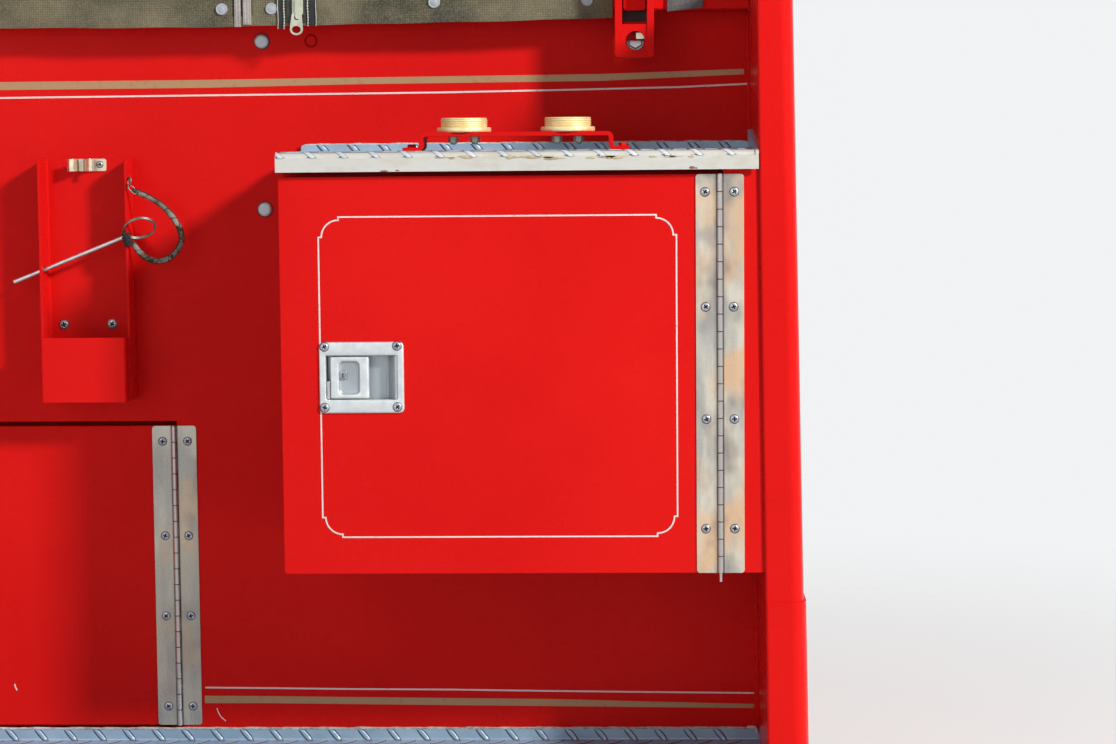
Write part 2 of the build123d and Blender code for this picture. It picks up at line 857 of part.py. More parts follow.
def latch_paddle(x, face, z):
    """Dished pull paddle in the left part of the window, on its pivot block."""
    left = x - latch_window_width / 2 + paddle_left_gap
    centre = left + paddle_width / 2
    front = face - latch_proud + paddle_below_bezel
    with BuildSketch(facing(front)) as plate_face:
        with Locations((centre, z)):
            RectangleRounded(paddle_width, paddle_height, paddle_corner)
    extrude(plate_face.sketch, amount=-paddle_thickness)
    with BuildSketch(facing(front)) as dish:
        with Locations((centre, z)):
            RectangleRounded(paddle_dish_width, paddle_dish_height, paddle_dish_corner)
    extrude(dish.sketch, amount=-paddle_dish_depth, mode=Mode.SUBTRACT)
    with BuildSketch(facing(front + paddle_thickness)) as pivot:
        with Locations((left + paddle_pivot_from_edge, z)):
            Rectangle(paddle_pivot_width, paddle_pivot_height)
    extrude(pivot.sketch, amount=front + paddle_thickness - face - latch_cup_depth)


def latch_case(x, face, z):
    """Case behind the cup, with the tongue drawn back into its left end."""
    left = x - latch_from_edge + latch_case_from_edge
    back = face + latch_cup_depth + latch_cup_wall
    with BuildSketch(facing(back)) as body:
        with Locations((left + latch_case_width / 2, z)):
            RectangleRounded(latch_case_width, latch_case_height, latch_case_corner)
    extrude(body.sketch, amount=-latch_case_depth)
    with BuildSketch(facing(back + latch_case_depth - tongue_slot_depth)) as slot:
        with Locations((left + tongue_slot_width / 2, z)):
            Rectangle(tongue_slot_width, tongue_slot_height)
    extrude(slot.sketch, amount=-tongue_slot_depth, mode=Mode.SUBTRACT)


for name, latch in (("upper", upper_latch), ("lower", lower_latch)):
    with BuildPart() as cup:
        latch_cup(*latch)
    keep(cup, f"{name}_latch_cup")
    with BuildPart() as paddle:
        latch_paddle(*latch)
    keep(paddle, f"{name}_latch_paddle")
    with BuildPart() as case:
        latch_case(*latch)
    keep(case, f"{name}_latch_case")


# Strikers on the landings, beside each latch case
def striker(x, y, z):
    """Small angle behind a landing, standing from its left end at X, its back at y."""
    with BuildSketch(Plane.XY.offset(z - striker_height / 2)) as angle:
        with BuildLine() as angle_line:
            Polyline(
                (x, y),
                (x + striker_depth, y),
                (x + striker_depth, y + striker_sheet),
                (x + striker_sheet, y + striker_sheet),
                (x + striker_sheet, y + striker_depth),
                (x, y + striker_depth),
                close=True,
            )
        make_face(angle_line.edges())
    extrude(angle.sketch, amount=striker_height)


with BuildPart() as upper_striker:
    striker(upper_left + locker_bend, landing_face + locker_sheet, upper_latch_z)
keep(upper_striker, "upper_striker")

with BuildPart() as lower_striker:
    striker(lower_opening_left, lower_landing_face + locker_sheet, lower_latch_z)
keep(lower_striker, "lower_striker")


# Adaptor rail: a flat bar cranked up off the tread plate, with two threaded adaptors
rail_bar_top = adaptor_rail_top
rail_bar_bottom = adaptor_rail_top - adaptor_rail_sheet
foot_top = upper_tread_top + adaptor_rail_sheet
adaptor_rail_y = wall_front - adaptor_rail_from_wall
adaptor_rail_middle = upper_axis_x - adaptor_rail_from_axis
adaptor_rail_left = adaptor_rail_middle - adaptor_rail_length / 2
adaptor_rail_right = adaptor_rail_middle + adaptor_rail_length / 2
adaptor_middle = adaptor_rail_middle - adaptor_shift
adaptor_places = (adaptor_middle - adaptor_spacing / 2, adaptor_middle + adaptor_spacing / 2)

with BuildPart() as adaptor_rail:
    with BuildSketch(facing(adaptor_rail_y + adaptor_rail_width / 2)):
        bar_line = (
            (adaptor_rail_left - adaptor_foot_length, foot_top),
            (adaptor_rail_left - adaptor_riser_run, foot_top),
            (adaptor_rail_left, rail_bar_top),
            (adaptor_rail_right, rail_bar_top),
            (adaptor_rail_right + adaptor_riser_run, foot_top),
            (adaptor_rail_right + adaptor_foot_length, foot_top),
        )
        folded(bar_line, adaptor_rail_sheet, adaptor_bend, Side.RIGHT)
    extrude(amount=adaptor_rail_width)
    with BuildSketch(Plane.XY.offset(rail_bar_bottom)):
        for place in adaptor_places:
            with Locations((place - adaptor_bolt_offset, adaptor_rail_y),
                           (place + adaptor_bolt_offset, adaptor_rail_y)):
                Circle(adaptor_bolt_radius)
    extrude(amount=adaptor_rail_sheet, mode=Mode.SUBTRACT)
keep(adaptor_rail, "adaptor_rail")

for number, place in enumerate(adaptor_places, 1):
    with BuildPart() as adaptor:
        with BuildSketch(Plane.XY.offset(rail_bar_top)):
            with Locations((place, adaptor_rail_y)):
                Circle(adaptor_flange_radius)
        extrude(amount=adaptor_flange_thickness)
        with BuildSketch(Plane.XY.offset(rail_bar_top + adaptor_flange_thickness)):
            with Locations((place, adaptor_rail_y)):
                Circle(adaptor_thread_radius)
        extrude(amount=adaptor_thread_height)
        chamfer(adaptor.faces().sort_by(Axis.Z)[-1].edges(), length=1.0)
        with BuildSketch(Plane.XY.offset(rail_bar_top + adaptor_flange_thickness)):
            with Locations((place, adaptor_rail_y)):
                Circle(adaptor_bore_radius)
        extrude(amount=adaptor_thread_height, mode=Mode.SUBTRACT)
    keep(adaptor, f"adaptor_{number}")

# Bolts up through the rail into each adaptor's flange: the heads stand below the rail
with BuildPart() as adaptor_bolts:
    for place in adaptor_places:
        with BuildSketch(Plane.XY.offset(rail_bar_bottom)) as shanks:
            with Locations((place - adaptor_bolt_offset, adaptor_rail_y),
                           (place + adaptor_bolt_offset, adaptor_rail_y)):
                Circle(adaptor_bolt_radius)
        extrude(shanks.sketch, amount=adaptor_rail_sheet)
        with BuildSketch(Plane.XY.offset(rail_bar_bottom)) as heads:
            with Locations((place - adaptor_bolt_offset, adaptor_rail_y),
                           (place + adaptor_bolt_offset, adaptor_rail_y)):
                RegularPolygon(adaptor_bolt_head_radius, 6)
        extrude(heads.sketch, amount=-adaptor_bolt_length)
keep(adaptor_bolts, "adaptor_bolts")


# Tool holder: a channel on the wall with a pocket across its foot
holder_front = wall_front - holder_flange_depth
pocket_front = wall_front - pocket_reach
pocket_top = holder_bottom + pocket_height
pin_y = wall_front - pin_from_wall
pin_left = (holder_left - pin_left_overrun, holder_bottom + pin_left_rise)
pin_right = (holder_right + pin_right_overrun, holder_bottom + pin_right_rise)
pin_run = (pin_right[0] - pin_left[0], pin_right[1] - pin_left[1])
pin_length = hypot(*pin_run)
link_height = holder_top - link_below_top
pin_axis = Plane(
    origin=(pin_left[0], pin_y, pin_left[1]),
    x_dir=(0, 1, 0),
    z_dir=(pin_run[0], 0, pin_run[1]),
)

with BuildPart() as holder_channel:
    with BuildSketch(Plane.XY.offset(holder_bottom)):
        channel_line = (
            (holder_left, holder_front),
            (holder_left, wall_front),
            (holder_right, wall_front),
            (holder_right, holder_front),
        )
        folded(channel_line, holder_sheet, holder_sheet * 1.6, Side.RIGHT)
    extrude(amount=holder_top - holder_bottom)
    top_front = (
        holder_channel.edges()
        .filter_by(Axis.X)
        .filter_by_position(Axis.Y, holder_front - 0.1, holder_front + 0.1)
        .group_by(Axis.Z)[-1]
    )
    fillet(top_front, radius=holder_corner)
    with BuildSketch(pin_axis):
        Circle(holder_pin_hole_radius)
    extrude(amount=pin_length, mode=Mode.SUBTRACT)
    with BuildSketch(Plane.YZ.offset(holder_right)):
        with Locations((holder_front + link_radius, link_height)):
            Circle(link_hole_radius)
    extrude(amount=-holder_sheet, mode=Mode.SUBTRACT)
keep(holder_channel, "holder_channel")

# Pocket: a bent front between the channel's flanges, with its own floor
pocket_left = holder_left + holder_sheet
pocket_right = holder_right - holder_sheet

with BuildPart() as holder_pocket:
    with BuildSketch(Plane.XY.offset(holder_bottom)):
        pocket_line = (
            (pocket_left, holder_front + pocket_lap),
            (pocket_left, pocket_front),
            (pocket_right, pocket_front),
            (pocket_right, holder_front + pocket_lap),
        )
        folded(pocket_line, pocket_sheet, holder_sheet)
    extrude(amount=pocket_top - holder_bottom)
    block((pocket_left + pocket_sheet, pocket_right - pocket_sheet),
          (pocket_front + pocket_sheet, wall_front - holder_sheet),
          (holder_bottom, holder_bottom + pocket_sheet))
keep(holder_pocket, "holder_pocket")

# Spring clip at the head of the channel: one bent strip with two sprung jaws
clip_x = (holder_left + holder_right) / 2 - clip_shift
clip_y = wall_front - holder_sheet

with BuildPart() as holder_clip:
    with BuildSketch(Plane.XY.offset(holder_top - clip_height)):
        clip_line = (
            (clip_x - clip_width / 2, clip_y - clip_reach),
            (clip_x - clip_throat / 2, clip_y - clip_reach / 2),
            (clip_x - clip_base / 2, clip_y - clip_sheet),
            (clip_x + clip_base / 2, clip_y - clip_sheet),
            (clip_x + clip_throat / 2, clip_y - clip_reach / 2),
            (clip_x + clip_width / 2, clip_y - clip_reach),
        )
        folded(clip_line, clip_sheet, 2 * clip_sheet)
    extrude(amount=clip_height)
keep(holder_clip, "holder_clip")

# Holder pin: a rod through both flanges with a wire eye at its right end
eye_x = pin_right[0] + pin_eye_offset_x
eye_z = pin_right[1] + pin_eye_offset_z
eye_half = pin_eye_straight / 2

with BuildPart() as holder_pin:
    with BuildSketch(pin_axis):
        Circle(holder_pin_radius)
    extrude(amount=pin_length)
    with BuildLine(facing(pin_y)) as eye_path:
        Line((eye_x - eye_half, eye_z - pin_eye_radius), (eye_x + eye_half, eye_z - pin_eye_radius))
        ThreePointArc(eye_path.line @ 1, (eye_x + eye_half + pin_eye_radius, eye_z),
                      (eye_x + eye_half, eye_z + pin_eye_radius))
        Line(eye_path.line @ 1, (eye_x - eye_half, eye_z + pin_eye_radius))
        ThreePointArc(eye_path.line @ 1, (eye_x - eye_half - pin_eye_radius, eye_z),
                      (eye_x - eye_half, eye_z - pin_eye_radius))
    with BuildSketch(Plane(origin=eye_path.line @ 0, z_dir=eye_path.line % 0)):
        Circle(pin_eye_wire)
    sweep(path=eye_path.line)
keep(holder_pin, "holder_pin")

# Ring that hangs the lanyard on the right flange: it goes through a hole and round the edge
with BuildPart() as lanyard_link:
    with BuildSketch(Plane.YZ.offset(holder_right - holder_sheet / 2)):
        with Locations((holder_front + link_radius, link_height)):
            Circle(link_wire)
    revolve(axis=Axis((holder_right - holder_sheet / 2, holder_front, link_height), (0, 0, 1)))
keep(lanyard_link, "lanyard_link")


# Lanyard: straight runs joined by tangent arcs, each as large as its runs allow
def route_radii(points):
    """Radius for each inner corner: 0.45 of the shorter run over the tangent of half the turn."""
    places = [Vector(*point) for point in points]
    radii = []
    for before, corner, after in zip(places, places[1:], places[2:]):
        turn = (corner - before).get_angle(after - corner)
        shorter = min((corner - before).length, (after - corner).length)
        radii.append(0.45 * shorter / tan(turn * pi / 360))
    return radii


lanyard_radii = route_radii(lanyard_route)
with BuildPart() as lanyard:
    with BuildLine() as lanyard_path:
        FilletPolyline(*lanyard_route, radius=lanyard_radii)
    with BuildSketch(Plane(origin=lanyard_path.line @ 0, z_dir=lanyard_path.line % 0)):
        Circle(lanyard_radius)
    sweep(path=lanyard_path.line)
keep(lanyard, "lanyard")
print("lanyard radii", [round(radius, 1) for radius in lanyard_radii])
print("lanyard length", round(lanyard_path.wires()[0].length, 1))


# Stay bracket: a deep socket on the front of the rail, with a ridge, a tongue and a bolt
stay_left = post_inner_head - stay_from_post
stay_middle = stay_left + stay_width / 2
stay_front = rail_front - stay_depth
stay_top = rail_top - stay_below_rail_top
stay_bottom = stay_top - stay_height
ridge_low = stay_bottom + stay_ridge_rise

with BuildPart() as stay_bracket:
    with BuildSketch(facing(rail_front)) as stay_outline:
        with Locations((stay_middle, (stay_bottom + stay_top) / 2)):
            RectangleRounded(stay_width, stay_top - stay_bottom, stay_corner)
    extrude(amount=stay_depth)
    with BuildSketch(facing(stay_front)):
        plate((stay_middle - stay_recess_width / 2, stay_middle + stay_recess_width / 2),
              (stay_bottom + stay_floor, stay_top + stay_corner))
    extrude(amount=stay_back - stay_depth, mode=Mode.SUBTRACT)
    with BuildSketch(facing(rail_front - stay_back)):
        plate((stay_middle - stay_recess_width / 2, stay_middle + stay_recess_width / 2),
              (ridge_low, ridge_low + stay_ridge))
    extrude(amount=stay_ridge)
keep(stay_bracket, "stay_bracket")

with BuildPart() as stay_tongue:
    with BuildSketch(facing(rail_front - stay_back)):
        plate((stay_middle - stay_tongue_width / 2, stay_middle + stay_tongue_width / 2),
              (stay_top - stay_tongue_length, stay_top))
    extrude(amount=stay_tongue_depth)
    fillet(stay_tongue.edges().filter_by(Axis.Y).group_by(Axis.Z)[0], radius=stay_corner)
keep(stay_tongue, "stay_tongue")

with BuildPart() as stay_bolt:
    with BuildSketch(facing(rail_front - stay_back)):
        with Locations((stay_middle, stay_bottom + stay_bolt_rise)):
            Circle(stay_washer_radius)
    extrude(amount=stay_washer)
    with BuildSketch(facing(rail_front - stay_back - stay_washer)):
        with Locations((stay_middle, stay_bottom + stay_bolt_rise)):
            RegularPolygon(stay_bolt_across_flats / 2, 6, major_radius=False)
    extrude(amount=stay_bolt_head)
keep(stay_bolt, "stay_bolt")


# Canvas skirt folded over the rail, and a webbing strap beside it
def over_rail(front_drop, x):
    """Sheet folded over the rail, hanging by one drop in front and by the rear drop behind."""
    front = rail_front - cover_gap - cover_sheet
    rear = rail_rear + cover_gap + cover_sheet
    top = rail_top + cover_gap + cover_sheet
    bend = post_corner_radius + cover_gap + cover_sheet
    with BuildSketch(Plane.YZ.offset(x[0])) as cloth:
        cloth_line = (
            (front, rail_top - front_drop),
            (front, top),
            (rear, top),
            (rear, rail_top - cover_rear_drop),
        )
        folded(cloth_line, cover_sheet, bend, Side.RIGHT)
    extrude(cloth.sketch, amount=x[1] - x[0])


with BuildPart() as cover_skirt:
    over_rail(cover_front_drop, (cover_end_gap - post_inner_head, stay_left - cover_stay_gap))
keep(cover_skirt, "cover_skirt")

strap_left = post_inner_head - strap_from_post
with BuildPart() as cover_strap:
    over_rail(strap_front_drop, (strap_left, strap_left + strap_width))
keep(cover_strap, "cover_strap")

# Dome studs on the wall
with BuildPart() as wall_studs:
    for gap, height in zip(stud_gaps, stud_heights):
        with BuildSketch(facing(wall_front)) as stud:
            with Locations((upper_left - gap, height)):
                Circle(stud_radius)
        extrude(stud.sketch, amount=stud_height)
    fillet(wall_studs.faces().group_by(Axis.Y)[0].edges(), radius=stud_height * 0.7)
keep(wall_studs, "wall_studs")


os.makedirs("parts", exist_ok=True)
for name, piece in pieces:
    export_step(piece, f"parts/{name}.step")
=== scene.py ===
import bmesh
import bpy
import math
from mathutils import Matrix, Vector


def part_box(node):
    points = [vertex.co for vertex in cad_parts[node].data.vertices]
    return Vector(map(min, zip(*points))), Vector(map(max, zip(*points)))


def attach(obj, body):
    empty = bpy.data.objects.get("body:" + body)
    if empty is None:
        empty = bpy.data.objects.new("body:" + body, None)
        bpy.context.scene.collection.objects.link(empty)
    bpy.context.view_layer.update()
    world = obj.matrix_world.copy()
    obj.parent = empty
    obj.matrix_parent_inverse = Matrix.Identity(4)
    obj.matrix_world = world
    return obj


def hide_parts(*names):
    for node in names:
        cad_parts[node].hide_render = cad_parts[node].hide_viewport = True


# Dressed model of a fire truck's body side bay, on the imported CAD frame.
# Lengths are in millimetres and are turned to metres where meshes and nodes are made.

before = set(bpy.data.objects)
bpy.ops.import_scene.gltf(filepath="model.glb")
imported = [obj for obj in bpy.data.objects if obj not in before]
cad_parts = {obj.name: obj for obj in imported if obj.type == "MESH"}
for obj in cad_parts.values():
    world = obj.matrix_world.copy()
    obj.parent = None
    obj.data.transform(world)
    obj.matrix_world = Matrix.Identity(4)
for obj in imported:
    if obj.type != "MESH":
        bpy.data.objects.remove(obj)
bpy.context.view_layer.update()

BAY = "bay_body"
UPPER = "upper_door_body"
LOWER = "lower_door_body"
WALL = 17.0
UPPER_AXIS = (514.0, -187.8)
LOWER_AXIS = (-97.0, 14.2)


def mm(*values):
    """Vector in metres of lengths in millimetres."""
    return Vector([value / 1000.0 for value in values])


def corners(node):
    """Lowest and highest corner of a CAD node at rest, in millimetres."""
    low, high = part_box(node)
    return [value * 1000.0 for value in low], [value * 1000.0 for value in high]


def wobble(seed, place):
    """Repeatable smooth noise from a few sine waves."""
    return sum(math.sin(place * step * 1.37 + (seed * 12.9898 * step + step * 78.233)) / step
               for step in range(1, 5)) / 2.1


def scatter(seed, count):
    """Repeatable numbers between 0 and 1."""
    value = seed * 7919 + 104729
    found = []
    for _ in range(count):
        value = (value * 1103515245 + 12345) % 2147483648
        found.append(value / 2147483648.0)
    return found


def circle(steps):
    """Cosine and sine at equal steps of one turn."""
    return [(math.cos(math.tau * step / steps), math.sin(math.tau * step / steps)) for step in range(steps)]


def shares(steps):
    """Even shares from 0 to 1."""
    return [step / steps for step in range(steps + 1)]


def placed(name, data):
    """New object of some data, in the scene."""
    thing = bpy.data.objects.new(name, data)
    bpy.context.scene.collection.objects.link(thing)
    return thing


# Materials

def bare_tree(owner):
    """Empty node tree of a material or a world."""
    owner.use_nodes = True
    owner.node_tree.nodes.clear()
    return owner.node_tree


def add_node(tree, kind, inputs=(), **settings):
    """New node; its inputs are numbers, colours or sockets to link, by name or number."""
    made = tree.nodes.new(kind)
    for label, value in settings.items():
        setattr(made, label, value)
    for label, value in dict(inputs).items():
        if isinstance(value, bpy.types.NodeSocket):
            tree.links.new(value, made.inputs[label])
        else:
            made.inputs[label].default_value = value
    return made


class Paint:
    """A node material around one Principled shader, with coordinates in metres."""

    def __init__(self, name, colour, rough, metal=0.0, coat=0.0, coat_rough=0.05, sheen=0.0, level=0.5,
                 tint=(1.0, 1.0, 1.0)):
        self.material = bpy.data.materials.new(name)
        self.tree = bare_tree(self.material)
        self.shader = self.node("ShaderNodeBsdfPrincipled", {
            "Base Color": (*colour, 1.0), "Roughness": rough, "Metallic": metal, "Coat Weight": coat,
            "Coat Roughness": coat_rough, "Sheen Weight": sheen, "Specular IOR Level": level,
            "Specular Tint": (*tint, 1.0)})
        self.node("ShaderNodeOutputMaterial", {"Surface": self.shader.outputs["BSDF"]})
        self.place = self.node("ShaderNodeTexCoord").outputs["Object"]
        self.normal = None

    def node(self, kind, inputs=(), **settings):
        return add_node(self.tree, kind, inputs, **settings)

    def noise(self, scale, detail=3.0, rough=0.5, stretch=None, distortion=0.0):
        """Noise on coordinates that may be stretched on each axis."""
        place = self.place
        if stretch:
            place = self.node("ShaderNodeMapping", {"Scale": stretch, "Vector": place}).outputs["Vector"]
        return self.node("ShaderNodeTexNoise", {
            "Scale": scale, "Detail": detail, "Roughness": rough, "Distortion": distortion,
            "Vector": place}).outputs["Fac"]

    def cells(self, scale):
        """Distance to the nearest of many scattered points."""
        return self.node("ShaderNodeTexVoronoi", {"Scale": scale, "Vector": self.place}).outputs["Distance"]

    def wave(self, scale, direction):
        """Even bands across one axis."""
        return self.node("ShaderNodeTexWave", {"Scale": scale, "Distortion": 0.0, "Detail": 0.0,
                                               "Vector": self.place},
                         bands_direction=direction).outputs["Fac"]

    def attribute(self, name):
        """Value kept with the points of a mesh."""
        return self.node("ShaderNodeAttribute", attribute_name=name).outputs["Fac"]

    def axis(self, index):
        """One coordinate of a place, in metres."""
        return self.node("ShaderNodeSeparateXYZ", {"Vector": self.place}).outputs[index]

    def away(self, x, y):
        """Distance in metres from an upright line at x and y."""
        dx = self.sum(self.axis(0), x / 1000.0, "SUBTRACT")
        dy = self.sum(self.axis(1), y / 1000.0, "SUBTRACT")
        square = self.sum(self.sum(dx, dx, "MULTIPLY"), self.sum(dy, dy, "MULTIPLY"))
        return self.sum(square, 0.5, "POWER")

    def upward(self, low, high):
        """One on a level top, nothing on an upright side, between two heights of the surface's normal."""
        shape = self.node("ShaderNodeNewGeometry")
        split = self.node("ShaderNodeSeparateXYZ", {"Vector": shape.outputs["True Normal"]})
        return self.span(split.outputs["Z"], low, high)

    def span(self, value, low, high, out_low=0.0, out_high=1.0):
        """Value mapped from one span to another, held inside it."""
        return self.node("ShaderNodeMapRange", {"From Min": low, "From Max": high, "To Min": out_low,
                                                "To Max": out_high, "Value": value}).outputs["Result"]

    def sum(self, first, second, operation="ADD"):
        """Two numbers or sockets put together by an operation."""
        return self.node("ShaderNodeMath", {0: first, 1: second}, operation=operation).outputs["Value"]

    def blend(self, factor, first, second):
        """Mix two colours, each given as three numbers or as a socket."""
        first, second = ((*part, 1.0) if isinstance(part, tuple) else part for part in (first, second))
        return self.node("ShaderNodeMix", {0: factor, 6: first, 7: second}, data_type="RGBA").outputs[2]

    def layer(self, base, over, scale, detail, rough, low, high, most=1.0, stretch=None, distortion=0.0):
        """One colour over another where a noise is high: nothing of it at low, the most at high."""
        noise = self.noise(scale, detail, rough, stretch, distortion)
        return self.blend(self.span(noise, low, high, 0.0, most), base, over)

    def colour(self, socket):
        self.tree.links.new(socket, self.shader.inputs["Base Color"])

    def rough(self, socket):
        self.tree.links.new(socket, self.shader.inputs["Roughness"])

    def face(self, node):
        """Let the shader take its normal from a node."""
        self.normal = node.outputs["Normal"]
        self.tree.links.new(self.normal, self.shader.inputs["Normal"])

    def bump(self, height, strength, distance):
        """Add a bump to what was bumped before."""
        made = self.node("ShaderNodeBump", {"Strength": strength, "Distance": distance / 1000.0,
                                            "Height": height})
        if self.normal is not None:
            self.tree.links.new(self.normal, made.inputs["Normal"])
        self.face(made)

    def soft_edges(self, radius):
        """Round the look of sharp edges."""
        self.face(self.node("ShaderNodeBevel", {"Radius": radius / 1000.0}, samples=4))


RED_MIRROR = (1.0, 0.10, 0.09)


def red_paint(name, smooth, dull):
    """Red lacquer between two roughness values: orange peel, soft shades, light chips and dull tops."""
    paint = Paint(name, (0.62, 0.006, 0.006), smooth, coat=0.05, coat_rough=0.35, level=0.34,
                  tint=RED_MIRROR)
    paint.soft_edges(1.2)
    base = paint.layer((0.61, 0.0065, 0.006), (0.69, 0.0095, 0.008), 4.0, 3.0, 0.5, 0.32, 0.70)
    base = paint.layer(base, (0.48, 0.005, 0.008), 60.0, 5.0, 0.7, 0.50, 0.80, 0.12)
    chips = paint.sum(paint.span(paint.cells(230.0), 0.070, 0.045),
                      paint.span(paint.noise(31.0, 1.0), 0.62, 0.68), "MULTIPLY")
    paint.colour(paint.blend(chips, base, (0.50, 0.16, 0.13)))
    shine = paint.span(paint.noise(24.0, 5.0, 0.6), 0.3, 0.75, smooth, dull)
    settled = paint.sum(paint.upward(0.70, 0.95), 0.42, "MULTIPLY")
    paint.rough(paint.sum(paint.sum(shine, settled), 0.85, "MINIMUM"))
    paint.bump(paint.noise(300.0, 1.5, 0.4), 0.22, 0.35)
    paint.bump(paint.noise(7.0, 1.0, 0.3), 0.18, 2.2)
    return paint.material


def underframe_paint():
    """Dark satin chassis paint with road dust."""
    paint = Paint("underframe_paint", (0.045, 0.045, 0.05), 0.5, coat=0.15, coat_rough=0.3)
    paint.soft_edges(1.2)
    paint.colour(paint.layer((0.045, 0.045, 0.05), (0.16, 0.14, 0.12), 16.0, 7.0, 0.68, 0.5, 0.85, 0.55))
    paint.rough(paint.span(paint.noise(40.0, 4.0), 0.3, 0.7, 0.42, 0.68))
    paint.bump(paint.noise(420.0, 3.0, 0.6), 0.25, 0.2)
    return paint.material


def tread_metal(name, light, dark, lip=None):
    """Weathered aluminium plate with fine scratches and dirt; lip is where its front edge begins, pale and
    warm as painted sunlight, mottled with brown dirt.
    """
    paint = Paint(name, light, 0.42, metal=0.35)
    base = paint.layer(dark, light, 11.0, 6.0, 0.65, 0.36, 0.70)
    base = paint.layer(base, (0.16, 0.15, 0.14), 70.0, 7.0, 0.75, 0.62, 0.84, 0.6)
    if lip is not None:
        # Painted sunlight and dirt: the front edge turns pale and warm, mottled with brown.
        edge = paint.span(paint.axis(1), (lip + 7.5) / 1000.0, (lip + 4.5) / 1000.0)
        lit_and_dirty_lip = paint.layer((0.60, 0.60, 0.56), (0.47, 0.37, 0.23), 45.0, 6.0, 0.7, 0.50, 0.78, 0.6,
                           (0.6, 1.0, 1.6))
        base = paint.blend(edge, base, lit_and_dirty_lip)
    paint.colour(base)
    paint.rough(paint.span(paint.noise(26.0, 3.0, 0.7, (1.0, 9.0, 9.0)), 0.3, 0.7, 0.30, 0.56))
    paint.bump(paint.noise(520.0, 3.0, 0.6), 0.22, 0.15)
    return paint


def chequer_metal():
    """Raised bars of the tread plate: light from rubbing and painted highlight, a darker blue behind the
    front fold as painted shade, and dark round their feet as painted shade.
    """
    # Light bar colours: rubbing and painted highlight.
    paint = tread_metal("chequer_bars", (0.76, 0.78, 0.80), (0.50, 0.56, 0.62))
    base = paint.shader.inputs["Base Color"].links[0].from_socket
    # Painted shade: bars behind the front fold turn a darker blue; only the front fold keeps them light.
    base = paint.blend(paint.span(paint.axis(1), -0.150, -0.172), (0.34, 0.47, 0.60), base)
    # Painted shade at the feet of the bars, where rise is low.
    foot = paint.span(paint.attribute("rise"), 0.05, 0.55)
    paint.colour(paint.blend(foot, (0.035, 0.045, 0.065), base))
    return paint.material


def stainless(name, axis_x, axis_y, dull):
    """Rolled stainless leaf, wavy, with warm and dark patches as smudges and painted reflections, a share of
    dark film as painted shade, and painted shade beside its knuckle.
    """
    paint = Paint(name, (0.78, 0.72, 0.62), 0.28, metal=0.8)
    paint.soft_edges(0.5)
    base = paint.layer((0.50, 0.49, 0.45), (0.76, 0.70, 0.58), 26.0, 3.0, 0.55, 0.40, 0.60,
                       stretch=(1.6, 1.0, 0.45))
    # Warm and dark patches: smudges and painted reflections.
    base = paint.layer(base, (0.83, 0.54, 0.32), 17.0, 2.0, 0.5, 0.48, 0.62, 0.85, (1.0, 1.0, 0.8))
    base = paint.layer(base, (0.27, 0.23, 0.22), 21.0, 3.0, 0.55, 0.49, 0.66, 0.85, (0.9, 1.0, 0.6))
    # Dark film over a share of the leaf: painted shade, its share set by dull.
    shade_film = paint.span(paint.noise(9.0, 2.0), 0.3, 0.7, dull * 0.8, dull * 1.2)
    base = paint.blend(shade_film, base, (0.24, 0.235, 0.21))
    away = paint.away(axis_x, axis_y)
    base = paint.blend(paint.span(away, 0.0032, 0.0029), base, (0.47, 0.45, 0.44))
    # Dark line beside the knuckle: painted shade in the crevice.
    seam = paint.sum(paint.span(away, 0.0050, 0.0034), paint.span(away, 0.0030, 0.0033), "MULTIPLY")
    paint.colour(paint.blend(seam, base, (0.04, 0.03, 0.03)))
    paint.rough(paint.span(paint.noise(120.0, 5.0, 0.7, (1.0, 1.0, 0.08)), 0.3, 0.7, 0.22, 0.38))
    paint.bump(paint.noise(22.0, 2.0, 0.5, (1.6, 1.0, 0.8)), 0.45, 1.4)
    paint.bump(paint.noise(700.0, 2.0, 0.5, (1.0, 1.0, 0.05)), 0.12, 0.05)
    return paint.material


def plain_metal(name, light, dark, rough, metal=0.9, grain=480.0, edge=0.6, sunk=None):
    """Small metal parts: fine grain, dull patches and softened edges; sunk is the colour of painted shade on
    what lies deep.
    """
    paint = Paint(name, light, rough, metal=metal)
    paint.soft_edges(edge)
    base = paint.layer(dark, light, 85.0, 5.0, 0.65, 0.35, 0.68)
    # Painted shade: points marked deep take the sunk colour.
    if sunk is not None:
        base = paint.blend(paint.span(paint.attribute("deep"), 0.15, 0.85), base, sunk)
    paint.colour(base)
    paint.rough(paint.span(paint.noise(170.0, 4.0, 0.6), 0.3, 0.7, rough * 0.8, rough * 1.3))
    paint.bump(paint.noise(grain, 2.0, 0.5), 0.2, 0.08)
    return paint.material


def cloth(name, light, dark, thread, rough=0.9, ribs=False):
    """Plain weave of crossing threads of one width; ribs run upright."""
    paint = Paint(name, light, rough, sheen=0.06, level=0.15)
    scale = 1000.0 / thread / math.tau
    weave = paint.wave(scale, "X")
    if not ribs:
        weave = paint.sum(weave, paint.wave(scale, "Z"), "MULTIPLY")
    base = paint.layer(dark, light, 14.0, 5.0, 0.6, 0.35, 0.7)
    fleck = paint.noise(480.0, 3.0, 0.7)
    base = paint.blend(paint.span(fleck, 0.45, 0.75, 0.0, 0.45), base,
                       tuple(min(1.0, part * 1.7) for part in light))
    paint.colour(paint.blend(paint.span(weave, 0.0, 0.30, 0.30, 0.0), base,
                             tuple(part * 0.35 for part in dark)))
    paint.bump(weave, 0.55, 0.35)
    paint.bump(fleck, 0.25, 0.2)
    return paint.material


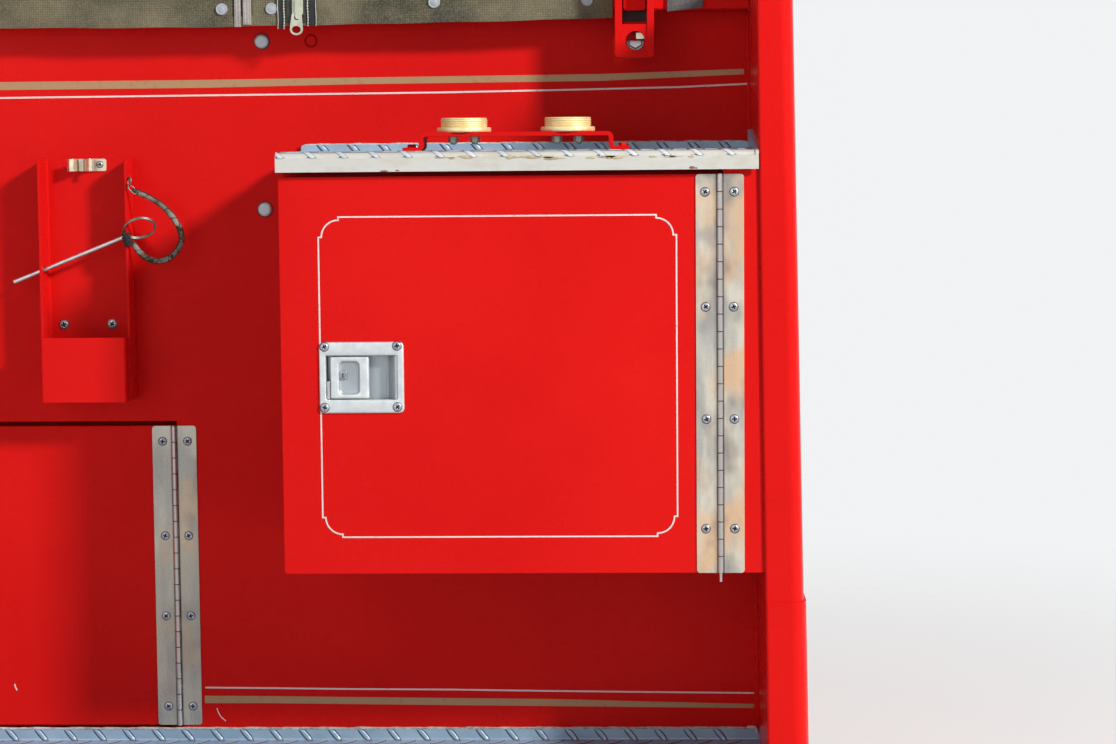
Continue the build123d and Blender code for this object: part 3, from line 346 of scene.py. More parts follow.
def rubber():
    """Black rubber of a door seal, with red overspray left from painting."""
    paint = Paint("seal_rubber", (0.022, 0.022, 0.024), 0.72, level=0.2)
    paint.colour(paint.layer((0.030, 0.012, 0.012), (0.17, 0.004, 0.005), 60.0, 5.0, 0.7, 0.25, 0.55))
    paint.bump(paint.noise(900.0, 2.0), 0.3, 0.12)
    return paint.material


def stripe(name, light, dark, rough, metal=0.0, tint=(1.0, 1.0, 1.0), coat=0.1):
    """Painted line with small gaps of wear; tint colours what it mirrors."""
    paint = Paint(name, light, rough, metal=metal, coat=coat, coat_rough=0.15, level=0.3, tint=tint)
    paint.colour(paint.layer(light, dark, 130.0, 6.0, 0.75, 0.56, 0.74))
    paint.bump(paint.noise(330.0, 1.5, 0.4), 0.12, 0.2)
    return paint.material


def sealant(name, light, dark):
    """Smeared joint sealant with dirt in it."""
    paint = Paint(name, light, 0.6)
    paint.colour(paint.layer(light, dark, 160.0, 6.0, 0.75, 0.46, 0.70))
    paint.bump(paint.noise(260.0, 3.0, 0.6), 0.5, 0.4)
    return paint.material


def taped():
    """Tape round the lanyard: pale faces, darker at its edges, at the tape laps and at the whipped ends, with
    brown and black patches.
    """
    paint = Paint("lanyard_tape", (0.20, 0.16, 0.13), 0.55, level=0.2)
    face = paint.layer((0.085, 0.066, 0.040), (0.27, 0.23, 0.20), 62.0, 3.0, 0.6, 0.42, 0.58)
    face = paint.layer(face, (0.46, 0.38, 0.31), 240.0, 4.0, 0.7, 0.52, 0.70, 0.6)
    face = paint.layer(face, (0.03, 0.02, 0.016), 150.0, 3.0, 0.6, 0.54, 0.62, distortion=0.6)
    paint.colour(paint.blend(paint.span(paint.attribute("band"), 0.25, 0.75), (0.022, 0.014, 0.012), face))
    paint.bump(paint.noise(700.0, 3.0, 0.6), 0.3, 0.15)
    return paint.material


# Grey aluminium with a blue tone that is a painted reflection of the sky.
ALUMINIUM = ((0.38, 0.52, 0.65), (0.27, 0.39, 0.51))
red = red_paint("red_paint", 0.22, 0.38)
dull_red = red_paint("dull_red", 0.65, 0.80)
frame_black = underframe_paint()
tread = tread_metal("tread_plate", *ALUMINIUM, -193.6).material
deck_plate = tread_metal("deck_plate", *ALUMINIUM, -196.6).material
bars = chequer_metal()
# The lower hinge is a shaded copy of the upper: its large dull share paints shade over most of it.
upper_steel = stainless("upper_hinge_steel", *UPPER_AXIS, dull=0.05)
lower_steel = stainless("lower_hinge_steel", *LOWER_AXIS, dull=0.62)
# The latch's recesses turn blue-grey as painted shade.
cast = plain_metal("latch_casting", (0.70, 0.74, 0.75), (0.58, 0.62, 0.64), 0.40, 0.6, 620.0, 1.1,
                   sunk=(0.38, 0.43, 0.46))
zinc = plain_metal("zinc_plate", (0.62, 0.60, 0.62), (0.44, 0.42, 0.43), 0.34, 0.9)
# Screw recesses and the ring round each head turn near black as painted shade.
screw_steel = plain_metal("screw_steel", (0.50, 0.53, 0.57), (0.28, 0.30, 0.34), 0.36, 0.8,
                          sunk=(0.02, 0.025, 0.04))
gilt_zinc = plain_metal("yellow_zinc", (0.72, 0.58, 0.34), (0.55, 0.52, 0.48), 0.32, 0.9, 300.0)
pale_metal = plain_metal("zip_metal", (0.54, 0.56, 0.46), (0.40, 0.42, 0.33), 0.40, 0.4)
dark_steel = plain_metal("dark_steel", (0.34, 0.32, 0.29), (0.15, 0.13, 0.11), 0.38, 0.8, 300.0, 0.4)
brass = plain_metal("pale_brass", (0.92, 0.76, 0.44), (0.84, 0.63, 0.30), 0.46, 0.40, 380.0, 0.5)
stud_grey = plain_metal("stud_grey", (0.58, 0.68, 0.70), (0.42, 0.50, 0.52), 0.40, 0.2, 500.0, 0.5)
cap_grey = plain_metal("cap_grey", (0.40, 0.43, 0.47), (0.30, 0.33, 0.37), 0.42, 0.1, 500.0, 0.4)
# Near-black material for painted shade in joints, slots, gaps and round the studs.
painted_shade = plain_metal("painted_shade", (0.05, 0.045, 0.04), (0.03, 0.028, 0.025), 0.6, 0.4)
canvas = cloth("cover_canvas", (0.215, 0.185, 0.115), (0.055, 0.056, 0.042), 1.3)
grey_tape = cloth("grey_webbing", (0.15, 0.155, 0.155), (0.08, 0.083, 0.09), 1.2, 0.85)
pale_tape = cloth("pale_tape", (0.46, 0.41, 0.38), (0.13, 0.13, 0.14), 1.6, 0.6, ribs=True)
dark_tape = cloth("dark_tape", (0.045, 0.046, 0.052), (0.014, 0.014, 0.018), 1.0, 0.8, ribs=True)
seal_black = rubber()
white_line = stripe("white_line", (0.74, 0.66, 0.64), (0.62, 0.20, 0.18), 0.38)
gold_line = stripe("gold_line", (0.40, 0.24, 0.12), (0.33, 0.12, 0.06), 0.42, 0.2)
ghost_red = stripe("worn_red", (0.34, 0.003, 0.005), (0.46, 0.005, 0.007), 0.5, 0.0, RED_MIRROR, 0.0)
# Dark red for painted shade.
red_in_shadow = stripe("shadowed_red", (0.13, 0.001, 0.004), (0.19, 0.002, 0.005), 0.5, 0.0, RED_MIRROR, 0.0)
pale_sealant = sealant("pale_sealant", (0.58, 0.56, 0.52), (0.17, 0.13, 0.10))
yellow_sealant = sealant("yellow_sealant", (0.50, 0.42, 0.27), (0.30, 0.24, 0.17))
rust = sealant("rust", (0.24, 0.095, 0.035), (0.11, 0.045, 0.02))
tape = taped()

# The look of each CAD node; any other one is painted red
LOOKS = {
    "base_sills": frame_black, "base_cross_tubes": frame_black, "side_deck": deck_plate,
    "upper_tread": tread, "upper_seal": seal_black, "lower_seal": seal_black,
    "upper_hinge_jamb_leaf": upper_steel, "upper_hinge_door_leaf": upper_steel,
    "lower_hinge_wall_leaf": lower_steel, "lower_hinge_door_leaf": lower_steel,
    "adaptor_bolts": pale_metal, "stay_bolt": zinc, "wall_studs": stud_grey,
}
for part, look in (("hinge_pin", zinc), ("latch_cup", cast), ("latch_paddle", cast), ("latch_case", zinc),
                   ("striker", zinc)):
    LOOKS[f"upper_{part}"] = LOOKS[f"lower_{part}"] = look

for name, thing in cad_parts.items():
    thing.data.materials.clear()
    thing.data.materials.append(LOOKS.get(name, red))


# Building in mesh code

def piece(name, points, faces, look, slot, body=BAY, smooth=35.0, values=None):
    """Mesh object from points in millimetres, riding on a body; values become attributes of its points."""
    mesh = bpy.data.meshes.new(name)
    mesh.from_pydata([mm(*point) for point in points], [], faces)
    mesh.update()
    for label, numbers in (values or {}).items():
        mesh.attributes.new(label, "FLOAT", "POINT").data.foreach_set("value", numbers)
    mesh.polygons.foreach_set("use_smooth", [True] * len(mesh.polygons))
    mesh.set_sharp_from_angle(angle=math.radians(smooth))
    mesh.materials.append(look)
    thing = placed(name, mesh)
    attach(thing, body)
    return thing


class Heap:
    """Points and faces gathered from several shapes for one object."""

    def __init__(self, *shapes):
        self.points = []
        self.faces = []
        self.values = {}
        for shape in shapes:
            self.add(*shape)

    def add(self, points, faces, **values):
        start = len(self.points)
        self.points.extend(points)
        self.faces.extend([tuple(index + start for index in face) for face in faces])
        for label, numbers in values.items():
            self.values.setdefault(label, []).extend(numbers)

    def piece(self, name, look, **options):
        return piece(name, self.points, self.faces, look, values=self.values, **options)


def remade(thing, change):
    """Piece after a change to its mesh."""
    mesh = bmesh.new()
    mesh.from_mesh(thing.data)
    change(mesh)
    mesh.to_mesh(thing.data)
    mesh.free()
    thing.data.update()
    return thing


def outward(thing):
    """Make the faces of a closed or open piece look outwards."""
    return remade(thing, lambda mesh: bmesh.ops.recalc_face_normals(mesh, faces=mesh.faces))


def solid(name, look, slot, *shapes, body=BAY, smooth=35.0):
    """Piece of several shapes whose faces look outwards."""
    return outward(Heap(*shapes).piece(name, look, slot=slot, body=body, smooth=smooth))


def outward_up(thing):
    """Turn faces of an open relief so that they look up or towards the viewer."""
    def change(mesh):
        mesh.normal_update()
        hidden = [face for face in mesh.faces if face.normal.z - face.normal.y < 0]
        bmesh.ops.reverse_faces(mesh, faces=hidden)

    return remade(thing, change)


def grid_faces(rows, columns, wrap=False, closed=False, first_cap=False, last_cap=False):
    """Quads over rows of points.

    wrap joins the ends of each row, closed joins the last row to the first, and a cap fills a row.
    """
    faces = []
    for row in range(rows if closed else rows - 1):
        near = row * columns
        far = (row + 1) % rows * columns
        for column in range(columns if wrap else columns - 1):
            following = (column + 1) % columns
            faces.append((near + column, near + following, far + following, far + column))
    if first_cap:
        faces.append(tuple(reversed(range(columns))))
    if last_cap:
        faces.append(tuple(range((rows - 1) * columns, rows * columns)))
    return faces


def beside(centre, axis, u, v, height):
    """Point off a centre, on a plane across an axis and at a height; heights on Y come forwards."""
    x, y, z = centre
    return (x + u, y + v, z + height) if axis == "Z" else (x + u, y - height, z + v)


def turned(profile, centre, axis="Z", segments=48, close=False):
    """Shape turned round an axis: a profile of (radius, height) points, heights along the axis."""
    points = [beside(centre, axis, radius * cosine, radius * sine, height)
              for radius, height in profile for cosine, sine in circle(segments)]
    return points, grid_faces(len(profile), segments, wrap=True, last_cap=close)


def slab(outline, y, depth):
    """Plate of a facing outline of (x, z) points between y and y + depth, with both faces."""
    count = len(outline)
    points = [(x, y, z) for x, z in outline] + [(x, y + depth, z) for x, z in outline]
    faces = [tuple(range(count)), tuple(reversed(range(count, 2 * count)))]
    for index in range(count):
        following = (index + 1) % count
        faces.append((following, index, index + count, following + count))
    return points, faces


def rounded_outline(x, z, radius, steps=6):
    """Rectangle with rounded corners between limits, anticlockwise as seen from the front."""
    outline = []
    for cx, cz, start in ((x[1] - radius, z[1] - radius, 0), (x[0] + radius, z[1] - radius, 90),
                          (x[0] + radius, z[0] + radius, 180), (x[1] - radius, z[0] + radius, 270)):
        for step in range(steps + 1):
            angle = math.radians(start + 90 * step / steps)
            outline.append((cx + radius * math.cos(angle), cz + radius * math.sin(angle)))
    return outline


def rounded_slab(x, z, radius, steps, y, depth):
    """Plate with rounded corners between limits."""
    return slab(rounded_outline(x, z, radius, steps), y, depth)


def pillow(outline, y, height, edge, rings=4):
    """Raised pad on a facing outline, its rim rounded over towards the viewer."""
    cx = sum(x for x, z in outline) / len(outline)
    cz = sum(z for x, z in outline) / len(outline)
    reach = max(math.hypot(x - cx, z - cz) for x, z in outline)
    points = [(x, y, z) for x, z in outline]
    for ring in range(1, rings + 1):
        angle = math.pi / 2 * ring / rings
        share = 1 - edge * (1 - math.cos(angle)) / reach
        lift = height * math.sin(angle)
        points += [(cx + (x - cx) * share, y - lift, cz + (z - cz) * share) for x, z in outline]
    return points, grid_faces(rings + 1, len(outline), wrap=True, last_cap=True)


def tube(path, radius, sides=10, closed=False):
    """Round tube along points, with a frame carried along the path; the radius may depend on the share."""
    places = [Vector(point) for point in path]
    count = len(places)
    points = []
    normal = None
    for index, place in enumerate(places):
        if closed:
            ahead = places[(index + 1) % count] - places[index - 1]
        else:
            ahead = places[min(index + 1, count - 1)] - places[max(index - 1, 0)]
        ahead.normalize()
        if normal is None:
            guess = Vector((0, 0, 1)) if abs(ahead.z) < 0.9 else Vector((0, 1, 0))
            normal = guess.cross(ahead).normalized()
        normal = (normal - ahead * normal.dot(ahead)).normalized()
        other = ahead.cross(normal)
        size = radius(index / max(count - 1, 1)) if callable(radius) else radius
        for cosine, sine in circle(sides):
            points.append(tuple(place + normal * size * cosine + other * size * sine))
    faces = grid_faces(count, sides, wrap=True, closed=closed, first_cap=not closed, last_cap=not closed)
    return points, faces


def hoop(centre, first, second, steps, radius, sides):
    """Tube along the closed ring through centre + first * cosine + second * sine."""
    middle, first, second = Vector(centre), Vector(first), Vector(second)
    return tube([middle + first * cosine + second * sine for cosine, sine in circle(steps)], radius, sides,
                closed=True)


def mitred(line, width, closed=False):
    """Both sides of a flat line at half a width from it, mitred at its corners."""
    places = [Vector(point) for point in line]
    count = len(places)
    sides = []
    for index, place in enumerate(places):
        before = (place - places[index - 1]).normalized() if closed or index else None
        after = (places[(index + 1) % count] - place).normalized() if closed or index < count - 1 else None
        first, second = before or after, after or before
        out = Vector((-(first.y + second.y), first.x + second.x)).normalized()
        out *= width / 2 / max(0.5, out.dot(Vector((-first.y, first.x))))
        sides.append((place + out, place - out))
    return sides


def ribbon(line, width, y, lift, closed=False):
    """Thin painted line along facing (x, z) points, on the plane at y."""
    points = []
    for left, right in mitred(line, width, closed):
        points += [(left.x, y, left.y), (left.x, y - lift, left.y),
                   (right.x, y - lift, right.y), (right.x, y, right.y)]
    return points, grid_faces(len(line), 4, closed=closed)


def bent_strip(line, thick, low, high, plane="XY"):
    """Strip of metal bent along a line in one plane and as wide as two limits across it."""
    points = []
    for near, far in mitred(line, thick):
        for spot, across in ((near, low), (near, high), (far, high), (far, low)):
            points.append((spot.x, spot.y, across) if plane == "XY" else (spot.x, across, spot.y))
    return points, grid_faces(len(line), 4, wrap=True, first_cap=True, last_cap=True)


def oval(x, z, wide, tall, steps=20):
    """Outline of an oval."""
    return [(x + wide * cosine, z + tall * sine) for cosine, sine in circle(steps)]


def screw_head(heap, place, radius, height, turn):
    """Raised head with a cross recess and a dark ring round its rim, on a plane across the bay; ring and
    recess are marked deep for painted shade.
    """
    rings = 12
    sides = 40
    arm = radius * 0.56
    slot = radius * 0.15
    # The first three rings lie round the head as painted shade at its foot; the cross recess gets painted
    # shade too.
    levels = [(radius * 1.14, -0.1, 1.0), (radius * 1.12, 0.12, 1.0), (radius * 1.02, 0.12, 1.0)]
    levels += [(radius * (1 - ring / rings), None, 0.0) for ring in range(rings + 1)]
    points = []
    deep = []
    for r, level, dark in levels:
        share = 1 - r / radius
        lift = level if level is not None else height * math.sqrt(max(0.0, 1 - (1 - share) ** 2.4))
        for cosine, sine in circle(sides):
            u = r * cosine
            v = r * sine
            a = abs(u * math.cos(turn) + v * math.sin(turn))
            b = abs(v * math.cos(turn) - u * math.sin(turn))
            inside = max(min(slot - a, arm - b), min(slot - b, arm - a))
            sunk = min(1.0, max(0.0, inside / (radius * 0.06) + 0.5)) if level is None else 0.0
            points.append((place[0] + u, place[1] - lift + height * 0.62 * sunk, place[2] + v))
            deep.append(max(dark, sunk))
    heap.add(points, grid_faces(len(levels), sides, wrap=True, last_cap=True), deep=deep)


def screws(name, body, *heads):
    """Screws in one piece, each given by its place, radius, height and turn."""
    heap = Heap()
    for head in heads:
        screw_head(heap, *head)
    outward(heap.piece(name, screw_steel, body=body, slot="zinc", smooth=28.0))


def hexagon(place, across, height, axis="Z", turn=0.0):
    """Hexagon head with chamfered corners."""
    points = []
    for share, level in ((1.0, 0.0), (1.0, 0.78), (0.90, 1.0)):
        r = across / 2 / math.cos(math.pi / 6) * share
        for step in range(6):
            angle = turn + math.pi / 3 * step
            points.append(beside(place, axis, r * math.cos(angle), r * math.sin(angle), height * level))
    return points, grid_faces(3, 6, wrap=True, last_cap=True)


def rounded_line(given, radius):
    """Flat line through corner points with each inner corner rounded off."""
    places = [Vector(point) for point in given]
    line = [tuple(places[0])]
    for before, corner, after in zip(places, places[1:], places[2:]):
        first = (before - corner).normalized()
        second = (after - corner).normalized()
        half = math.acos(max(-1.0, min(1.0, first.dot(second)))) / 2
        reach = radius / math.tan(half)
        centre = corner + (first + second).normalized() * (radius / math.sin(half))
        start = corner + first * reach - centre
        end = corner + second * reach - centre
        sweep = math.atan2(start.x * end.y - start.y * end.x, start.dot(end))
        for share in shares(7):
            cosine, sine = math.cos(sweep * share), math.sin(sweep * share)
            line.append((centre.x + start.x * cosine - start.y * sine,
                         centre.y + start.x * sine + start.y * cosine))
    line.append(tuple(places[-1]))
    return line


# Camera, light and floor

PHOTO_WIDTH = 1116.0
FOCAL = 2611.0
SENSOR = 36.0
EYE = (435.02, -2903.0, 724.33)
YAW, PITCH, ROLL = (math.radians(angle) for angle in (1.9055, 5.1191, -0.4865))
PALE = (0.88, 0.89, 0.90, 1.0)
LIT = (0.0, 0.0, 450.0)
FLOOR_REACH, FLOOR_LEVEL = 14.0, -0.0005  # in metres

ahead = Vector((-math.sin(YAW) * math.cos(PITCH), math.cos(YAW) * math.cos(PITCH), -math.sin(PITCH)))
level = Vector((math.cos(YAW), math.sin(YAW), 0.0))
upright = level.cross(ahead)
side = level * math.cos(ROLL) + upright * math.sin(ROLL)
over = upright * math.cos(ROLL) - level * math.sin(ROLL)
lens = bpy.data.cameras.new("photo_camera")
lens.sensor_fit = "HORIZONTAL"
lens.sensor_width = SENSOR
lens.lens = FOCAL * SENSOR / PHOTO_WIDTH
lens.clip_start = 0.05
lens.clip_end = 100.0
camera = placed("photo_camera", lens)
turn = Matrix((side, over, -ahead)).transposed().to_4x4()
camera.matrix_world = Matrix.Translation(mm(*EYE)) @ turn
bpy.context.scene.camera = camera
bpy.context.scene.view_settings.view_transform = "Standard"


def seen_directly(tree):
    """1 for camera, glossy and transmission rays, and 0 for the light that falls on surfaces."""
    path = add_node(tree, "ShaderNodeLightPath").outputs
    found = path["Is Camera Ray"]
    for name in ("Is Glossy Ray", "Is Transmission Ray"):
        most = add_node(tree, "ShaderNodeMath", {0: found, 1: path[name]}, operation="MAXIMUM")
        found = most.outputs["Value"]
    return found


def show(tree, kind, factor, first, second):
    """Let an output of a kind show a mix of two shaders."""
    mix = add_node(tree, "ShaderNodeMixShader", {"Fac": factor, 1: first.outputs[0], 2: second.outputs[0]})
    add_node(tree, kind, {"Surface": mix.outputs["Shader"]})


world = bpy.data.worlds.new("studio")
bpy.context.scene.world = world
sky = bare_tree(world)
show(sky, "ShaderNodeOutputWorld", seen_directly(sky),
     add_node(sky, "ShaderNodeBackground", {"Color": (0.96, 0.98, 1.0, 1.0), "Strength": 0.21}),
     add_node(sky, "ShaderNodeBackground", {"Color": PALE}))


def lamp(name, place, power, size, colour=(1.0, 1.0, 1.0), mirrored=True):
    """Square soft lamp aimed at the bay, its power in watts."""
    light = bpy.data.lights.new(name, "AREA")
    light.shape = "SQUARE"
    light.size = size / 1000.0
    light.energy = power
    light.color = colour
    thing = placed(name, light)
    thing.location = mm(*place)
    thing.visible_glossy = mirrored
    look = mm(*LIT) - mm(*place)
    thing.rotation_euler = look.to_track_quat("-Z", "Y").to_euler()


lamp("key_lamp", (4400.0, -3300.0, 3500.0), 440.0, 620.0, (1.0, 0.975, 0.94))
lamp("fill_lamp", (-2200.0, -4200.0, 1900.0), 32.0, 2400.0, (0.94, 0.97, 1.0))
lamp("back_lamp", (-900.0, 3400.0, 2400.0), 105.0, 2200.0, mirrored=False)

# The floor takes shadows near the bay and turns into the plain background further out
floor_mesh = bpy.data.meshes.new("studio_floor")
floor_mesh.from_pydata([(FLOOR_REACH * x, FLOOR_REACH * y, FLOOR_LEVEL)
                        for x, y in ((-1, -1), (1, -1), (1, 1), (-1, 1))], [], [(0, 1, 2, 3)])
floor = placed("studio_floor", floor_mesh)
floor_look = bpy.data.materials.new("studio_floor")
ground = bare_tree(floor_look)
where = add_node(ground, "ShaderNodeTexCoord").outputs["Object"]
length = add_node(ground, "ShaderNodeVectorMath", {0: where}, operation="LENGTH").outputs["Value"]
fade = add_node(ground, "ShaderNodeMapRange", {"From Min": 0.75, "From Max": 2.1, "Value": length},
                interpolation_type="SMOOTHSTEP").outputs["Result"]
far = add_node(ground, "ShaderNodeMath", {0: fade, 1: seen_directly(ground)}, operation="MULTIPLY")
show(ground, "ShaderNodeOutputMaterial", far.outputs["Value"],
     add_node(ground, "ShaderNodeBsdfDiffuse", {"Color": (0.68, 0.685, 0.69, 1.0)}),
     add_node(ground, "ShaderNodeEmission", {"Color": PALE}))
floor_mesh.materials.append(floor_look)


# Lanyard: a taped cord that hangs from a ring on the holder to the eye of its pin

LANYARD_ROUTE = [
    (-131.5, -21.0, 671.0), (-108.0, -19.0, 662.0), (-89.0, -16.5, 644.5), (-76.5, -14.5, 622.0),
    (-81.5, -13.5, 604.0), (-97.5, -13.0, 591.5), (-112.5, -14.0, 592.0), (-126.0, -16.5, 601.0),
    (-132.8, -18.5, 613.5),
]


def spline_points(route):
    """Points of the smooth NURBS line that has a route as its control points, in millimetres."""
    curve = bpy.data.curves.new("route", "CURVE")
    curve.dimensions = "3D"
    spline = curve.splines.new("NURBS")
    spline.points.add(len(route) - 1)
    for point, place in zip(spline.points, route):
        point.co = (*mm(*place), 1.0)
    spline.order_u = 3
    spline.use_endpoint_u = True
    spline.resolution_u = 32
    thing = placed("route", curve)
    bpy.context.view_layer.update()
    mesh = bpy.data.meshes.new_from_object(thing)
    points = [vertex.co * 1000.0 for vertex in mesh.vertices]
    bpy.data.objects.remove(thing)
    bpy.data.curves.remove(curve)
    bpy.data.meshes.remove(mesh)
    return points


def taped_cord(path, wide, thin, sides):
    """Flat braid bound in tape: its section turns slowly, the tape laps show, both ends are whipped."""
    count = len(path)
    points = []
    band = []
    run = 0.0
    total = sum((second - first).length for first, second in zip(path, path[1:]))
    normal = None
    for index, place in enumerate(path):
        if index:
            run += (place - path[index - 1]).length
        ahead = (path[min(index + 1, count - 1)] - path[max(index - 1, 0)]).normalized()
        if normal is None:
            normal = Vector((0, 1, 0)).cross(ahead).normalized()
        normal = (normal - ahead * normal.dot(ahead)).normalized()
        other = ahead.cross(normal)
        twist = 0.5 * math.sin(run / 17.0)
        whip = max(0.0, 1 - run / 7.0, 1 - (total - run) / 7.0)
        nick = 0.10 * max(0.0, wobble(5, run / 4.0))
        for step, (across, upward) in enumerate(circle(sides)):
            lap = (run / 13.0 + step / sides) % 1.0
            swell = 1.0 + 0.07 * lap - 0.10 * whip - nick
            u = wide * across * swell
            v = thin * upward * swell
            along = u * math.cos(twist) - v * math.sin(twist)
            aside = u * math.sin(twist) + v * math.cos(twist)
            points.append(tuple(place + normal * along + other * aside))
            seam = 1.0 if lap < 0.10 else 0.0
            band.append(max(0.0, (1 - abs(across) ** 3) * (1 - 0.75 * seam) * (1 - 0.8 * whip)))
    return points, grid_faces(count, sides, wrap=True, first_cap=True, last_cap=True), band


lanyard_line = spline_points(LANYARD_ROUTE)
cord_points, cord_faces, cord_band = taped_cord(lanyard_line, 3.5, 2.3, 22)
lanyard = piece("lanyard_cord", cord_points, cord_faces, tape, slot="lanyard", smooth=60.0,
                values={"band": cord_band})
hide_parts("lanyard")

# The pin's rod ends in a drilled tip, and a split ring runs through the tip and round the flange
ROD_LEFT = Vector((-269.0, -9.0, 568.9))
ROD_RIGHT = Vector((-138.5, -9.0, 620.5))
rod_path = [ROD_LEFT, ROD_LEFT + (ROD_RIGHT - ROD_LEFT).normalized() * 0.5]
rod_path += [ROD_LEFT.lerp(ROD_RIGHT, step / 20) for step in range(1, 21)]
pin = solid("holder_pin_rod", zinc, "zinc",
            tube(rod_path, lambda share: 2.35 if share > 0.02 else 1.7, 20), smooth=50.0)
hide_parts("holder_pin")
RING = ((-124.6, -17.5, 628.6), (17.0, 1.5, 4.3), (-1.8, -12.5, 10.6))
solid("pin_split_ring", dark_steel, "zinc",
      *(hoop((RING[0][0] + 0.3 * shift, RING[0][1] + 0.75 * shift, RING[0][2] + 0.75 * shift),
             *([part * grow for part in way] for way in RING[1:]), 64, 1.15, 10)
        for grow, shift in ((1.0, -0.7), (0.985, 0.8))), smooth=60.0)
solid("lanyard_whipping", dark_tape, "lanyard",
      *(hoop((-136.2 - 0.55 * step, -22.6, 610.4 + 2.1 * step),
             (4.3 - 0.35 * abs(step - 2.5), 0.3, 0.5 * (-1) ** step), (0.0, 3.3, 0.4), 20, 1.35, 8)
        for step in range(7)), smooth=60.0)

# Ring in the holder's flange, and the wire link that the lanyard hangs on
hanger = solid("flange_ring", dark_steel, "zinc",
               hoop((-134.2, -20.5, 680.4), (2.6, -4.6, 0.4), (0.4, 0.2, 4.9), 36, 0.95, 10),
               hoop((-130.6, -22.4, 671.6), (4.2, 0.8, -4.6), (1.7, 0.6, 1.7), 36, 0.62, 8), smooth=60.0)
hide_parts("lanyard_link")


# Canvas cover skirt over the top rail

RAIL_FRONT = corners("top_rail")[0][1]
RAIL_REAR, RAIL_TOP = corners("top_rail")[1][1:]
RAIL_BEND = 3.0
HEM_BASE = 849.6
HEM_DEPTH = 10.0
SIDE_HEM = 7.0
HEM_EXTRA = 0.7
CLOTH_GAP = 0.35
CANVAS_THICK = 1.7
CANVAS_SWELL = 2.6
TAPE_TOP = 907.0
DROP_STEPS = 14
skirt_low, skirt_high = corners("cover_skirt")
strap_low, strap_high = corners("cover_strap")


def hem_height(x):
    """Height of the skirt's front hem along the rail."""
    slope = 0.018 * max(0.0, x - 90.0)
    return HEM_BASE + slope + 0.7 * math.sin(x / 61.0) + 0.35 * math.sin(x / 17.0 + 1.0)


def skirt_swell(x, drop):
    """How far the cloth stands off the rail at a share of its drop."""
    fold = 0.5 + 0.5 * math.sin(x / 33.0 + 1.3 * math.sin(x / 87.0))
    ripple = 0.5 + 0.5 * math.sin(x / 12.5 + 2.0)
    return CANVAS_SWELL * drop ** 1.6 * (0.75 * fold + 0.25 * ripple)


def over_rail(x, hem, rear_hem, swell):
    """Line of cloth over the rail at one place along X, from the front hem to the rear hem."""
    front = RAIL_FRONT - CLOTH_GAP
    rear = RAIL_REAR + CLOTH_GAP
    top = RAIL_TOP + CLOTH_GAP
    bend = RAIL_BEND + CLOTH_GAP
    line = [(front - swell(x, 1 - share), hem + (top - bend - hem) * share) for share in shares(DROP_STEPS)]
    turns = [math.pi / 2 * step / 6 for step in range(1, 6)]
    line += [(front + bend * (1 - math.cos(angle)), top - bend + bend * math.sin(angle)) for angle in turns]
    line += [(front + bend + (rear - front - 2 * bend) * share,
              top - min(0.5 * math.sin(math.pi * share), CLOTH_GAP * 0.5)) for share in shares(6)]
    line += [(rear - bend * (1 - math.sin(angle)), top - bend * (1 - math.cos(angle))) for angle in turns]
    return line + [(rear + swell(x, share) * 0.4, top - bend - (top - bend - rear_hem) * share)
                   for share in shares(6)]


def draped(x_low, x_high, pace, hem, rear_hem, swell, thick):
    """Two-sided cloth over the rail, thicker at its hems."""
    rows = max(2, int(round((x_high - x_low) / pace)) + 1)
    outer = []
    inner = []
    for index in range(rows):
        x = x_low + (x_high - x_low) * index / (rows - 1)
        edge = min(index, rows - 1 - index) * pace
        line = over_rail(x, hem(x), rear_hem, swell)
        for step, (y, z) in enumerate(line):
            before = Vector(line[max(step - 1, 0)])
            after = Vector(line[min(step + 1, len(line) - 1)])
            way = (after - before).normalized()
            hemmed = step <= DROP_STEPS and abs(z - hem(x)) < HEM_DEPTH
            raised = thick + (HEM_EXTRA if hemmed or edge < SIDE_HEM else 0.0)
            inner.append((x, y, z))
            outer.append((x, y - way.y * raised, z + way.x * raised))
    columns = len(line)
    shift = rows * columns
    faces = grid_faces(rows, columns)
    faces += [tuple(reversed([index + shift for index in face])) for face in faces]
    rim = [(row * columns + column, (row + 1) * columns + column)
           for row in range(rows - 1) for column in (0, columns - 1)]
    rim += [(row * columns + column, row * columns + column + 1)
            for column in range(columns - 1) for row in (0, rows - 1)]
    return outer + inner, faces + [(a, b, b + shift, a + shift) for a, b in rim]


skirt = solid("cover_canvas", canvas, "canvas",
              draped(skirt_low[0], skirt_high[0], 6.5, hem_height, skirt_low[2] + 29.0, skirt_swell,
                     CANVAS_THICK), smooth=50.0)
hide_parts("cover_skirt")


def front_of_skirt(x, z):
    """Depth of the skirt's front face at a place."""
    hem = hem_height(x)
    share = (z - hem) / (RAIL_TOP - RAIL_BEND - hem)
    return RAIL_FRONT - CLOTH_GAP - CANVAS_THICK - skirt_swell(x, max(0.0, 1 - share))


stitches = Heap()
for index in range(int((skirt_high[0] - skirt_low[0] - 12.0) / 4.2)):
    x = skirt_low[0] + 8.0 + index * 4.2
    z = hem_height(x) + 10.5
    y = front_of_skirt(x, z) + 0.1
    stitches.add(*tube([(x, y, z), (x + 0.8, y - 0.35, z), (x + 1.9, y - 0.35, z), (x + 2.7, y, z)], 0.32, 5))
hem_stitches = stitches.piece("skirt_stitches", grey_tape, slot="webbing")

